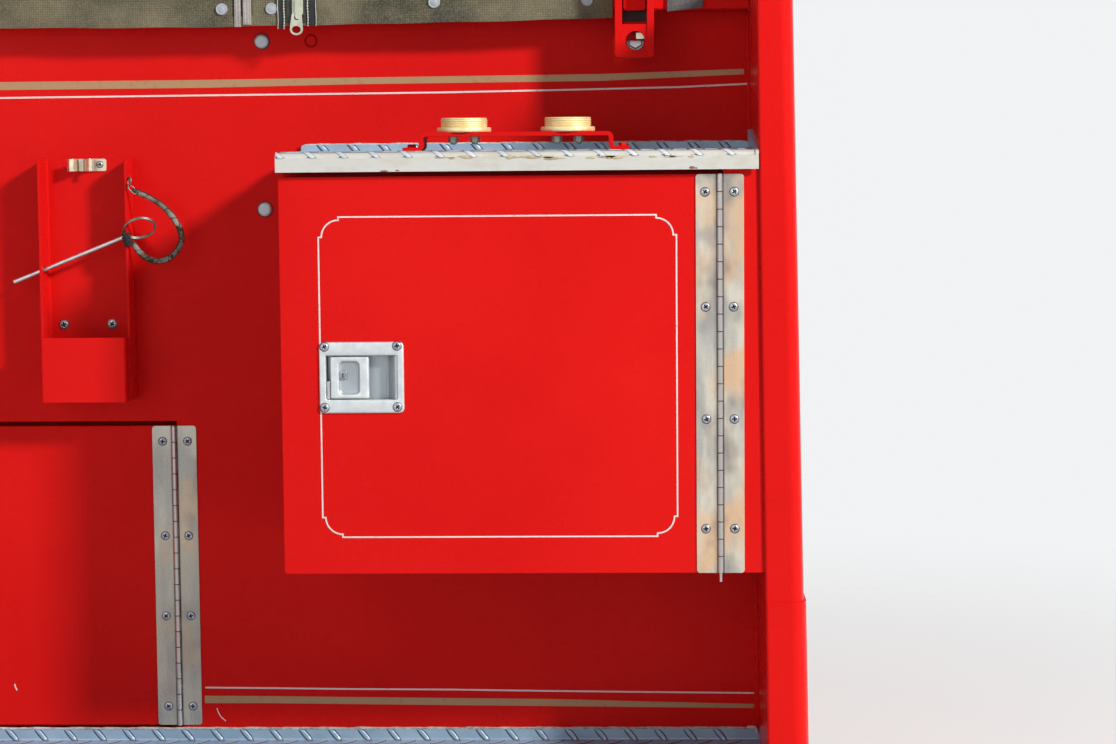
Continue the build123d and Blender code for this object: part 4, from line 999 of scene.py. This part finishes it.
CAP_PROFILE = [(6.6, -0.4), (6.6, 0.9), (6.2, 1.6), (5.5, 1.8), (4.9, 1.5), (4.2, 1.5), (3.2, 1.9),
               (1.8, 2.2), (0.3, 2.3)]
CAPS = ((-27.8, 868.6), (27.3, 868.6), (206.5, 873.9), (374.4, 874.6), (-390.0, 869.5))
snap_caps = solid("snap_caps", cap_grey, "stud",
                  *(turned(CAP_PROFILE, (x, front_of_skirt(x, z), z), axis="Y", segments=36, close=True)
                    for x, z in CAPS))


def flat_tape(name, x, low, thick, look, out=0.4):
    """Narrow woven tape hanging on the skirt's front, between limits on X."""
    points = []
    steps = 12
    for step in range(steps + 1):
        z = low + (TAPE_TOP - low) * step / steps
        row = [(place, front_of_skirt(place, max(z, hem_height(place))) - out, z)
               for place in (x[0], (x[0] + x[1]) / 2, x[1])]
        points += row + [(px, py - thick, pz) for px, py, pz in reversed(row)]
    faces = grid_faces(steps + 1, 6, wrap=True, first_cap=True, last_cap=True)
    return solid(name, look, "webbing", (points, faces))


tapes = [
    flat_tape("tape_end_left", (-13.4, -6.6), 849.0, 1.5, pale_tape),
    flat_tape("tape_end_right", (-3.8, 5.2), 851.4, 1.5, pale_tape),
    # A dark strip behind the two tape ends: painted shade in the gap between them.
    flat_tape("tape_gap", (-15.2, 6.4), 852.5, 0.3, dark_tape, 0.1),
    flat_tape("zip_tape_left", (33.8, 43.0), 847.0, 1.0, dark_tape),
    flat_tape("zip_tape_right", (66.4, 77.4), 849.6, 1.0, dark_tape),
    # A dark strip between the open zip's tapes: painted shade in the opening.
    flat_tape("zip_field", (43.6, 65.8), 852.5, 0.7, painted_shade),
]


ZIP = (34.0, 77.0)
TOOTH_PITCH = 3.1


def zip_edge(x, low, size):
    """Upright edge of the open zip's tape, its radius a number or a function of the share."""
    place = min(max(x, ZIP[0]), ZIP[1])
    path = []
    for step in range(111):
        z = low + (TAPE_TOP - low) * step / 110
        y = front_of_skirt(place, max(z, hem_height(place))) - 2.1
        path.append((x + 0.25 * math.sin(z / 5.0), y, z))
    return tube(path, size, 8)


def ridges(low):
    """Radius of a coil of teeth that starts at a height."""
    return lambda share: 0.70 + 0.30 * math.cos(math.tau * (TAPE_TOP - low) * share / TOOTH_PITCH)


# The open zip: a coil of teeth along one edge of each tape and a piped edge along the other
zip_teeth = solid("zip_teeth", pale_metal, "zinc",
                  *(edge for coil_x, pipe_x, low in ((41.4, 34.7, 846.4), (67.6, 76.6, 849.2))
                    for edge in (zip_edge(coil_x, low, ridges(low)), zip_edge(pipe_x, low, 0.5))),
                  smooth=60.0)


def holed_plate(outline, holes, y, thick):
    """Plate with round holes, each hole an outline of its own; drawn with a filled mesh."""
    mesh = bmesh.new()
    edges = []
    for loop in [outline] + holes:
        ring = [mesh.verts.new((x, y, z)) for x, z in loop]
        edges += [mesh.edges.new((ring[index], ring[(index + 1) % len(ring)])) for index in range(len(ring))]
    bmesh.ops.triangle_fill(mesh, use_beauty=True, use_dissolve=False, edges=edges)
    found = bmesh.ops.extrude_face_region(mesh, geom=mesh.faces[:])
    moved = [item for item in found["geom"] if isinstance(item, bmesh.types.BMVert)]
    bmesh.ops.translate(mesh, verts=moved, vec=(0, thick, 0))
    bmesh.ops.recalc_face_normals(mesh, faces=mesh.faces)
    mesh.verts.index_update()
    points = [tuple(vertex.co) for vertex in mesh.verts]
    faces = [tuple(vertex.index for vertex in face.verts) for face in mesh.faces]
    mesh.free()
    return points, faces


puller_y = front_of_skirt(55.3, 856.0) - 4.6
puller_outline = [(55.2 + 7.1 * math.cos(math.radians(angle)), 845.6 + 6.4 * math.sin(math.radians(angle)))
                  for angle in range(180, 361, 15)]
puller_outline += [(62.1, 851.0), (61.0, 862.0), (59.8, 863.6), (51.6, 863.6), (50.3, 862.0), (48.5, 851.0)]
puller_holes = [oval(55.1, 845.4, 4.9, 4.0), oval(55.6, 858.4, 2.7, 2.7, 16)]
puller = solid("zip_puller", pale_metal, "zinc", holed_plate(puller_outline, puller_holes, puller_y, 1.3))
slider = solid("zip_slider", pale_metal, "zinc",
               rounded_slab((50.6, 62.6), (861.0, 879.0), 2.4, 4, puller_y + 1.5, 2.6),
               rounded_slab((54.2, 59.2), (857.0, 879.0), 1.6, 4, puller_y - 0.9, 3.0))


# Webbing strap over the rail, beside the stay bracket

strap = solid("cover_webbing", grey_tape, "webbing",
              draped(strap_low[0], strap_high[0] - 1.0, 5.0, lambda x: 861.0 + (x - strap_low[0]) * 0.10,
                     strap_low[2] + 17.0, lambda x, drop: 1.2 * drop ** 2, 2.0), smooth=50.0)
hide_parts("cover_strap")


# Chequer bars on both tread plates

class Fold:
    """Developed line of a folded plate in the Y-Z plane, with its outward side."""

    def __init__(self, places, radii):
        self.spans = []
        points = [Vector(place) for place in places]
        start = points[0]
        length = 0.0
        for index in range(1, len(points)):
            way = (points[index] - points[index - 1]).normalized()
            bend = radii[index - 1] if index - 1 < len(radii) else 0.0
            end = points[index] - way * bend
            run = (end - start).length
            self.spans.append((length, run, start.copy(), way, None, 0.0))
            length += run
            if bend:
                following = (points[index + 1] - points[index]).normalized()
                centre = end + following * bend
                run = math.pi / 2 * bend
                self.spans.append((length, run, centre, way, following, bend))
                length += run
                start = centre + way * bend
        self.length = length

    def at(self, run):
        """Place and outward side at a length along the line."""
        for begin, span_length, origin, way, following, bend in self.spans:
            if run <= begin + span_length:
                break
        share = run - begin
        place = origin + way * share
        if bend:
            angle = share / bend
            place = origin - following * bend * math.cos(angle) + way * bend * math.sin(angle)
            way = way * math.cos(angle) + following * math.sin(angle)
        return place, Vector((way.y, -way.x))


def chequer(name, fold, x_span, run_span, rows, columns, keep, look, lean=45.0):
    """Raised lens-shaped bars over a folded plate, leaning one way in a row and the other in the next.

    rows gives the run of one row's middle and the step between rows. columns gives, at both ends
    of the plate, the place of one bar on X and the step between bars of a row.
    """
    heap = Heap()
    length = 25.0
    width = 5.4
    height = 1.2
    clearance = 0.03
    inset = 0.3
    reach = 9
    # Dark margins beside each bar, where rise is nought: painted shade at its feet, and on the front rows a
    # wider one on the lower-left side as a painted shadow.
    foot_shade = 1.0
    front_shadow = 3.0
    along = 9
    across = 8
    row_count = int((run_span[1] - run_span[0]) / rows[1]) + 4
    for row in range(-row_count, row_count):
        run = rows[0] + row * rows[1]
        if not run_span[0] - reach < run < run_span[1] + reach:
            continue
        share = (run - run_span[0]) / (run_span[1] - run_span[0])
        first, pitch = (near + (far - near) * share for near, far in zip(*columns))
        angle = math.radians(lean) * (-1.0 if row % 2 else 1.0)
        for column in range(-40, 41):
            x = first + (column + (0.5 if row % 2 else 0.0)) * pitch
            if not x_span[0] - reach < x < x_span[1] + reach:
                continue
            middle = fold.at(min(max(run, run_span[0]), run_span[1]))[0]
            if not keep(x, middle.x, middle.y):
                continue
            points = []
            rise = []
            for i in range(along + 1):
                a = -1 + 2 * i / along
                half = width / 2 * max(0.0, 1 - abs(a) ** 2.2) ** 0.75
                for j in range(across + 1):
                    b = -1 + 2 * (j - 1) / (across - 2)
                    w = half
                    if j in (0, across):
                        b = math.copysign(1.0, b)
                        w = half + (front_shadow if j and run > run_span[1] - 12 else foot_shade)
                    px = x + a * length / 2 * math.cos(angle) - b * w * math.sin(angle)
                    pr = run + a * length / 2 * math.sin(angle) + b * w * math.cos(angle)
                    lift = height * max(0.0, 1 - abs(b) ** 6) * max(0.0, 1 - abs(a) ** 5) ** 0.8
                    px = min(max(px, x_span[0] + inset), x_span[1] - inset)
                    pr = min(max(pr, run_span[0] + inset), run_span[1] - inset)
                    place, out = fold.at(pr)
                    spot = place + out * (lift + clearance)
                    points.append((px, spot.x, spot.y))
                    rise.append(lift / height)
            heap.add(points, grid_faces(along + 1, across + 1), rise=rise)
    return outward_up(heap.piece(name, look, slot="tread_plate", smooth=60.0))


POST_FOOT, POST_LEAN, POST_LOW, POST_RISE = 563.0, 11.5, 40.0, 873.0
UPSTAND = 14.0
TREAD_TOP = 711.0
DECK_TOP = 43.0
UPSTAND_TOP = TREAD_TOP + 8.0
LIP = 14.5
tread_low, tread_high = corners("upper_tread")
deck_low, deck_high = corners("side_deck")
rail_low, rail_high = corners("adaptor_rail")
upper_fold = Fold([(UPSTAND, UPSTAND_TOP), (UPSTAND, TREAD_TOP), (tread_low[1], TREAD_TOP),
                   (tread_low[1], tread_low[2])], [2.0, 5.5])
deck_fold = Fold([(UPSTAND, deck_high[2]), (UPSTAND, DECK_TOP), (deck_low[1], DECK_TOP),
                  (deck_low[1], deck_low[2])], [2.0, 5.5])


def on_upper_tread(x, y, _z):
    """Keep bars clear of the rail's feet."""
    return not any(abs(x - foot) < 17.0 and rail_low[1] - 8.0 < y < rail_high[1] + 8.0
                   for foot in (rail_low[0] + 9.0, rail_high[0] - 9.0))


def post_inner(z):
    """Half the bay's width between its leaning posts at a height."""
    return POST_FOOT - POST_LEAN * (z - POST_LOW) / POST_RISE


def on_deck(x, y, z):
    """Keep bars off the places where the deck is cut out round the posts."""
    return not (abs(x) > post_inner(z) - 11.0 and y > deck_low[1] - 60.0)


chequer("upper_tread_bars", upper_fold, (tread_low[0], tread_high[0] - 3.2), (0.0, upper_fold.length - LIP),
        (upper_fold.length - 19.0, 17.45), ((77.8, 34.5), (87.9, 33.45)), on_upper_tread, bars)
chequer("deck_bars", deck_fold, (-post_inner(DECK_TOP), post_inner(DECK_TOP)), (0.0, deck_fold.length - 6.0),
        (6.0, 16.85), ((-290.5, 33.7), (-290.5, 33.7)), on_deck, bars, 50.0)


# Painted lines

def coach_line(x, z, run, step):
    """Closed line round a door: straight sides, a small step inwards and a convex arc at each corner."""
    line = []
    radius = run - step
    for sx, sz, start in ((x[1], z[1], 0), (x[0], z[1], 90), (x[0], z[0], 180), (x[1], z[0], 270)):
        cx = sx + (-run if sx == x[1] else run)
        cz = sz + (-run if sz == z[1] else run)
        ends = [(sx, cz), (cx, sz)] if start in (0, 180) else [(cx, sz), (sx, cz)]
        arc = [math.radians(start + 90.0 * share) for share in shares(10)]
        line += [ends[0], *((cx + radius * math.cos(angle), cz + radius * math.sin(angle)) for angle in arc),
                 ends[1]]
    return line


def band(name, top, bottom):
    """Gold band on the wall between two lines of (x, z) points."""
    solid(name, gold_line, "red_paint", slab(bottom + top[::-1], WALL - 0.15, 0.14))


def painted(name, line, width, lift, look=white_line, body=BAY, y=WALL, closed=False):
    """Thin line of paint along (x, z) points."""
    piece(name, *ribbon(line, width, y, lift, closed), look, body=body, slot="red_paint")


DOOR = corners("upper_door")[0][1]
painted("upper_door_line", coach_line((95.3, 468.9), (307.0, 644.2), 21.0, 3.2), 1.6, 0.15, body=UPPER,
        y=DOOR, closed=True)
band("gold_line_top",
     [(-556.0, 791.5), (-280.0, 792.1), (-60.0, 792.4), (108.0, 793.4), (387.0, 794.8), (547.0, 799.0)],
     [(-556.0, 782.4), (-280.0, 783.2), (-60.0, 783.6), (108.0, 786.0), (387.0, 787.3), (547.0, 793.2)])
band("gold_line_low",
     [(-68.5, 93.9), (-5.0, 93.5), (98.0, 92.2), (326.0, 89.6), (440.0, 86.5), (557.0, 83.5)],
     [(-68.5, 85.3), (-5.0, 85.4), (98.0, 84.1), (326.0, 81.5), (440.0, 80.2), (557.0, 78.9)])
painted("white_line_top", [(-556.0, 774.0), (-281.0, 774.4), (-60.0, 775.2), (75.0, 775.6), (209.0, 776.1),
                           (343.0, 777.6), (476.0, 779.7), (552.0, 782.6)], 1.9, 0.15)
painted("white_line_low", [(-67.5, 103.4), (-5.0, 102.8), (98.0, 101.5), (212.0, 100.7), (326.0, 98.9),
                           (439.0, 97.5), (557.0, 96.2)], 1.8, 0.15)
painted("paint_scratch", [(-54.9, 79.5), (-53.4, 74.6), (-50.4, 69.4), (-44.9, 64.6)], 0.9, 0.1)
painted("door_scratch", [(-286.8, 108.0), (-286.0, 104.4), (-284.2, 100.6)], 1.4, 0.1, body=LOWER)
painted("old_fitting_mark", oval(65.6, 834.6, 6.3, 6.5, 28), 2.4, 0.1, ghost_red, closed=True)


# Screws of the hinges, in pairs, and dark rings of painted shade between their knuckles

LEAF = 1.2
KNUCKLE = 17.7


def hinge_screws(name, axis_x, face, rows, columns, door_body):
    """One piece of screws on the door's leaf and one on the frame's."""
    for label, column, body in (("door", columns[0], door_body), ("frame", columns[1], BAY)):
        heads = []
        for index, z in enumerate(rows):
            x = axis_x + column + 0.5 * math.sin(index * 2.3 + column)
            heads.append(((x, face, z + 0.4 * math.cos(index * 1.7)), 4.5, 1.7, 0.25 + 1.3 * index + column))
        screws(f"{name}_{label}_screws", body, *heads)


def knuckle_joints(name, node, axis_x, axis_y):
    """Dark rings of painted shade where the knuckles meet, just proud of them."""
    low, high = (corner[2] for corner in corners(node))
    count = 2 * round((high - low) / KNUCKLE / 2 - 0.5) + 1
    solid(name, painted_shade, "stainless",
          *(turned([(2.7, -0.55), (2.86, -0.5), (2.86, 0.5), (2.7, 0.55)],
                   (axis_x, axis_y, low + (high - low) * index / count), segments=28)
            for index in range(1, count)))


hinge_screws("upper_hinge", UPPER_AXIS[0], DOOR - LEAF, (667.0, 548.0, 430.8, 314.7), (-15.0, 14.5), UPPER)
hinge_screws("lower_hinge", LOWER_AXIS[0], WALL - LEAF, (386.0, 278.7, 186.9, 82.0), (-13.0, 14.6), LOWER)
knuckle_joints("upper_knuckle_joints", "upper_hinge_jamb_leaf", *UPPER_AXIS)
knuckle_joints("lower_knuckle_joints", "lower_hinge_wall_leaf", *LOWER_AXIS)


# Flush latches: bezel and cup, dished paddle, lock plug, pin and screws

BEZEL = 2.5
HALF_WINDOW = (37.5, 23.25)


def steps_in(x, z, radius, face, steps):
    """Outlines round one rectangle, each grown by its first number and set deeper by its second."""
    return [(rounded_outline((x[0] - grow, x[1] + grow), (z[0] - grow, z[1] + grow),
                             max(0.3, radius + grow), 5), face + depth) for grow, depth in steps]


def lofted(heap, rings, deep, closed_back=False):
    """Surface through facing outlines at depths, with a share of painted shade for each, by depth."""
    points = [(x, y, z) for outline, y in rings for x, z in outline]
    count = len(rings[0][0])
    heap.add(points, grid_faces(len(rings), count, wrap=True, first_cap=closed_back, last_cap=True),
             deep=[share for share in deep for _ in range(count)])


def dress_latch(prefix, body):
    """Finer mesh for one door's latch."""
    low, high = corners(f"{prefix}_latch_cup")
    face = low[1] + BEZEL
    x, z = (low[0], high[0]), (low[2], high[2])
    cx, cz = sum(x) / 2, sum(z) / 2
    wx, wz = ((middle - half, middle + half) for middle, half in zip((cx, cz), HALF_WINDOW))
    heap = Heap()
    bezel = steps_in(x, z, 5.0, face, ((0.0, 0.0), (0.0, -1.0), (-0.35, -1.8), (-1.0, -2.35), (-1.9, -BEZEL)))
    window = steps_in(wx, wz, 1.4, face, ((1.5, -BEZEL), (0.7, -2.35), (0.2, -1.9), (0.0, -1.2), (0.0, 12.2),
                                          (-0.8, 13.0)))
    # Painted shade deep in the window and down its slope, from the casting's sunk colour.
    lofted(heap, bezel + window, [0.0] * 8 + [0.25, 1.0, 1.0])
    lofted(heap, steps_in(wx, wz, 1.4, face, ((1.8, 0.0), (1.8, 14.4), (1.2, 14.8))), [0.0] * 3)
    slope = [(wx[1] - 12.9 * share,
              face - 1.0 + 13.6 * (0.5 - 0.5 * math.cos(math.pi * min(1.0, share * 1.02))))
             for share in shares(8)]
    heap.add([(px, py, pz) for pz in (wz[0] + 0.05, wz[1] - 0.05) for px, py in slope], grid_faces(2, 9),
             deep=[0.15 + 0.07 * index for index in range(9)] * 2)
    cup = heap.piece(f"{prefix}_latch_casting", cast, body=body, slot="latch_cast", smooth=40.0)
    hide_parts(f"{prefix}_latch_cup")

    left = wx[0] + 4.5
    px, pz = (left, left + 38.7), (cz - 22.2, cz + 22.2)
    dx, dz = (left + 8.6, left + 30.6), (cz - 18.0, cz + 17.2)
    heap = Heap()
    rim = steps_in(px, pz, 1.6, face, ((0.0, 6.0), (0.0, 0.9), (-0.4, 0.3), (-1.1, 0.0)))
    dish = steps_in(dx, dz, 5.0, face, ((1.2, 0.0), (0.3, 0.35), (-0.3, 1.2), (-1.2, 2.5), (-2.4, 2.95)))
    lofted(heap, rim + dish, [0.0] * 6 + [0.6, 1.0, 1.0], closed_back=True)
    block = rounded_slab((left + 3.3, left + 16.1), (cz - 18.2, cz + 18.2), 0.8, 2, face + 5.9, 7.0)
    roll = tube([(px[1] - 0.3, face + 2.6, pz[0] + 0.6), (px[1] - 0.3, face + 2.6, pz[1] - 0.6)], 2.4, 14)
    # The block behind the paddle is all in painted shade; the roll is not.
    for shape, share in ((block, 1.0), (roll, 0.0)):
        heap.add(*shape, deep=[share] * len(shape[0]))
    paddle = heap.piece(f"{prefix}_latch_handle", cast, body=body, slot="latch_cast", smooth=40.0)
    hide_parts(f"{prefix}_latch_paddle")

    plug = rounded_outline((left + 8.4, left + 17.6), (cz - 2.2, cz + 7.0), 1.0, 3)
    piece(f"{prefix}_lock_plug", *pillow(plug, face + 2.9, 2.1, 0.7), screw_steel, body=body, slot="zinc")
    # A dark slab of painted shade stands in the key slot.
    piece(f"{prefix}_key_slot",
          *rounded_slab((left + 12.4, left + 13.6), (cz - 0.3, cz + 5.1), 0.4, 2, face + 0.72, 0.3),
          painted_shade, body=body, slot="zinc")
    pivot = [(wx[0] + 2.2, face + 2.0, z) for z in (wz[0] + 0.4, cz - 4.0)]
    solid(f"{prefix}_pivot_pin", zinc, "zinc", tube(pivot, 1.9, 14), body=body)
    places = ((-38.8, 32.6), (37.5, 33.2), (-39.2, -31.4), (37.3, -31.0))
    screws(f"{prefix}_latch_screws", body, *(((cx + sx, face - BEZEL, cz + sz), 4.5, 1.5, 0.6 + index * 1.1)
                                             for index, (sx, sz) in enumerate(places)))


dress_latch("upper", UPPER)
dress_latch("lower", LOWER)


# Threaded adaptors, turned from pale brass, and the bent rail that they stand on

def thread_profile(first, ridges, pitch, root, crest):
    """Ridges of a thread, each a rounded crest between two roots."""
    flank = root + (crest - root) * 0.7
    profile = []
    for index in range(ridges):
        base = first + index * pitch
        profile += [(root, base), (flank, base + pitch * 0.24), (crest, base + pitch * 0.42),
                    (crest, base + pitch * 0.58), (flank, base + pitch * 0.76)]
    return profile + [(root, first + ridges * pitch)]


ADAPTOR = [(19.0, 0.0), (27.9, 0.0), (28.55, 0.6), (28.7, 1.4), (28.7, 3.9), (28.4, 4.6), (27.6, 5.0),
           (24.6, 5.05), (23.9, 5.3), (23.9, 5.8)]
ADAPTOR += thread_profile(5.9, 3, 2.35, 23.9, 24.85)
ADAPTOR += [(23.9, 13.1), (24.4, 13.4), (24.5, 13.9), (24.1, 14.6), (23.3, 14.95), (22.4, 15.0), (21.6, 14.8),
            (21.0, 14.2), (20.9, 12.4), (19.3, 11.6), (19.0, 10.8), (19.0, 5.0), (19.0, 0.0)]
for number in (1, 2):
    low, high = corners(f"adaptor_{number}")
    centre = ((low[0] + high[0]) / 2, (low[1] + high[1]) / 2, low[2])
    adaptor = solid(f"adaptor_{number}_turned", brass, "brass", turned(ADAPTOR, centre, segments=72),
                    smooth=38.0)
    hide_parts(f"adaptor_{number}")

RAIL_THICK = 4.6
rail_line = rounded_line([(181.0, 713.4), (200.2, 713.4), (201.0, 729.1), (400.6, 729.1), (401.2, 713.4),
                          (420.5, 713.4)], 4.2)
rail = solid("adaptor_rail_strip", dull_red, "red_paint",
             bent_strip(rail_line, RAIL_THICK, rail_low[1], rail_high[1], "XZ"))
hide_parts("adaptor_rail")
rail_middle = (rail_low[1] + rail_high[1]) / 2
solid("rail_foot_bolts", dull_red, "red_paint",
      *(hexagon((x, rail_middle, TREAD_TOP + RAIL_THICK), 8.0, 3.4, turn=0.3) for x in (188.6, 413.0)))
tip = corners("adaptor_bolts")[0][2] + 0.4
solid("bolt_tips", pale_metal, "zinc",
      *(turned([(3.6, 0.0), (3.5, -1.0), (2.9, -1.9), (1.6, -2.5), (0.2, -2.7)], (x, rail_middle, tip),
               segments=20, close=True) for x in (233.2, 256.2, 343.6, 366.6)))


# Tool holder: screws, and the spring clip with a tab

screws("holder_screws", BAY, ((-218.8, WALL - 3.0, 519.6), 5.2, 1.9, 0.2),
       ((-163.9, WALL - 3.0, 520.0), 5.2, 1.9, 1.0))
CLIP_LOW, CLIP_HIGH, CLIP_THICK = 691.8, 705.6, 1.3
LEFT_SPRING = [(-207.4, 0.6), (-204.6, -1.2), (-201.8, 0.2), (-198.0, 3.4), (-197.0, 6.4), (-198.2, 9.6),
               (-197.6, 12.2), (-194.5, 13.1), (-189.5, 13.1)]
RIGHT_SPRING = [(-179.9, 0.6), (-182.7, -1.2), (-185.6, 0.2), (-189.0, 3.4), (-190.0, 6.4), (-188.6, 9.6),
                (-184.5, 12.0), (-180.0, 12.6)]
clip = solid("spring_clip", gilt_zinc, "zinc",
             rounded_slab((-191.0, -166.2), (CLIP_LOW, CLIP_HIGH), 2.2, 4, 12.5, CLIP_THICK),
             *(bent_strip(line, CLIP_THICK, CLIP_LOW, CLIP_HIGH) for line in (LEFT_SPRING, RIGHT_SPRING)),
             smooth=40.0)
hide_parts("holder_clip")
screws("clip_screw", BAY, ((-173.6, 12.5, 699.2), 3.6, 1.4, 0.5))


# Stay bracket: a plate with a deep round hole, the bolt head inside it, a dark red plate of painted shade
# over the hole's upper half with a small pale block of painted highlight, and a dark plate of painted shade
# in its socket

STAY_X, STAY_Z, STAY_HOLE = 427.0, 828.6, 10.3
stay_front = corners("stay_bracket")[0][1]
plate_face = stay_front + 1.2
solid("stay_face_plate", red, "red_paint",
      holed_plate(rounded_outline((410.0, 442.6), (814.0, 846.5), 3.0, 5),
                  [oval(STAY_X, STAY_Z, STAY_HOLE, STAY_HOLE, 40)], plate_face, 2.2),
      turned([(STAY_HOLE, -1.0), (STAY_HOLE, 24.0)], (STAY_X, plate_face + 25.0, STAY_Z), axis="Y",
             segments=40), smooth=40.0)
stay_bolt = solid("stay_bolt_head", zinc, "zinc",
                  turned([(9.6, -8.0), (9.6, 0.6), (9.2, 1.0), (7.0, 1.05), (0.2, 1.05)],
                         (STAY_X, -32.0, STAY_Z), axis="Y", segments=44),
                  hexagon((STAY_X, -33.0, STAY_Z), 14.2, 6.0, axis="Y", turn=math.pi / 6), smooth=30.0)
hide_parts("stay_bolt")
# Painted shade: a dark red plate over the upper half of the hole.
solid("stay_hole_shade", red_in_shadow, "red_paint",
      rounded_slab((417.2, 437.0), (829.0, 838.0), 1.0, 3, stay_front + 5.0, 6.0))
# Painted highlight: a small pale block for a lit patch in the hole.
solid("stay_hole_highlight", gilt_zinc, "zinc",
      rounded_slab((427.8, 436.6), (830.6, 837.4), 1.0, 3, stay_front + 4.2, 1.0))
# Painted shade: a dark plate at the back of the socket.
solid("stay_socket_shade", painted_shade, "seal",
      rounded_slab((411.5, 441.0), (846.8, 862.0), 0.6, 3, -24.5, 0.5))


# Sealant along the upstands and in the corners of the wall

def bead(name, path, radius, look, seed, rough=0.35, sides=9, slot="seal"):
    """Uneven bead of sealant along a path."""
    path = [Vector(point) for point in path]
    fine = []
    for a, b in zip(path, path[1:]):
        steps = max(1, int((b - a).length / 3.0))
        fine += [a + (b - a) * step / steps for step in range(steps)]
    fine.append(path[-1])
    last = len(fine) - 1
    run = [0.0]
    for a, b in zip(fine, fine[1:]):
        run.append(run[-1] + (b - a).length)

    def size(share):
        index = min(last, int(round(share * last)))
        taper = min(1.0, 0.35 + index / 2.0, 0.35 + (last - index) / 2.0)
        return radius * taper * (1.0 + rough * wobble(seed, run[index] / 9.0))

    shifted = [place + Vector((0, 0, rough * radius * 0.6 * wobble(seed, run[index] / 14.0 + 40.0)))
               for index, place in enumerate(fine)]
    solid(name, look, slot, tube(shifted, size, sides), smooth=70.0)


deck_seam = deck_high[2]
bead("tread_sealant", [(tread_low[0] + 4.0, 15.9, UPSTAND_TOP), (549.0, 15.9, UPSTAND_TOP)], 1.5,
     pale_sealant, 3)
bead("deck_sealant", [(-557.0, 15.2, deck_seam + 1.1), (548.0, 15.2, deck_seam + 1.1)], 1.4, pale_sealant, 8)
bead("deck_sealant_corner", [(548.5, 14.4, deck_seam + 2.0), (558.0, 13.0, deck_seam + 1.0),
                             (561.0, 8.0, deck_seam - 4.0)], 2.6, pale_sealant, 12)
for side_sign, label in ((1.0, "front"), (-1.0, "rear")):
    path = [(side_sign * (post_inner(z) - 0.9), WALL - 0.7, z) for z in [*range(60, 861, 40), 863]]
    bead(f"{label}_corner_bead", path, 1.9, red, 5 + side_sign, rough=0.22, sides=12, slot="red_paint")

# Smears and rust on the tread's lip
LIP_FACE = tread_low[1] + 0.02
RUST_SPOTS = ((485.2, 692.9, 3.0, 1.5), (489.5, 692.4, 1.4, 0.8), (166.0, 691.8, 4.2, 0.8),
              (180.0, 692.2, 2.1, 0.7))
numbers = scatter(4, 75)
smears = Heap()
for index in range(15):
    along, up, long, tall = numbers[index * 5:index * 5 + 4]
    x = 225.0 + 275.0 * along
    z = 703.5 + 2.4 * up
    outline = []
    for step, (cosine, sine) in enumerate(circle(14)):
        angle = math.tau * step / 14
        grow = 1 + 0.25 * math.sin(3 * angle + index) + 0.12 * math.sin(5 * angle + 2 * index)
        outline.append((x + (3.0 + 10.0 * long) * cosine * grow, z + (0.8 + 1.4 * tall) * sine * grow))
    smears.add(*pillow(outline, LIP_FACE, 0.35, 0.6, 2))
smears.piece("lip_smears", yellow_sealant, slot="seal", smooth=60.0)
spots = Heap()
for x, z, wide, tall in RUST_SPOTS:
    outline = [(x + wide * cosine * (1 + 0.2 * math.sin(2.5 * step)),
                z + tall * sine * (1 + 0.15 * math.cos(3.1 * step)))
               for step, (cosine, sine) in enumerate(circle(12))]
    spots.add(*pillow(outline, LIP_FACE, 0.3, 0.4, 2))
spots.piece("lip_rust", rust, slot="tread_plate", smooth=60.0)


# Wall studs: a thin dark ring of painted shade round each dome

solid("stud_rings", painted_shade, "stud",
      *(turned([(9.0, 0.0), (8.9, 0.6), (8.3, 0.9), (7.6, 0.9), (7.3, 0.5)], (10.75, WALL, z), axis="Y",
               segments=40) for z in (834.5, 647.5)))
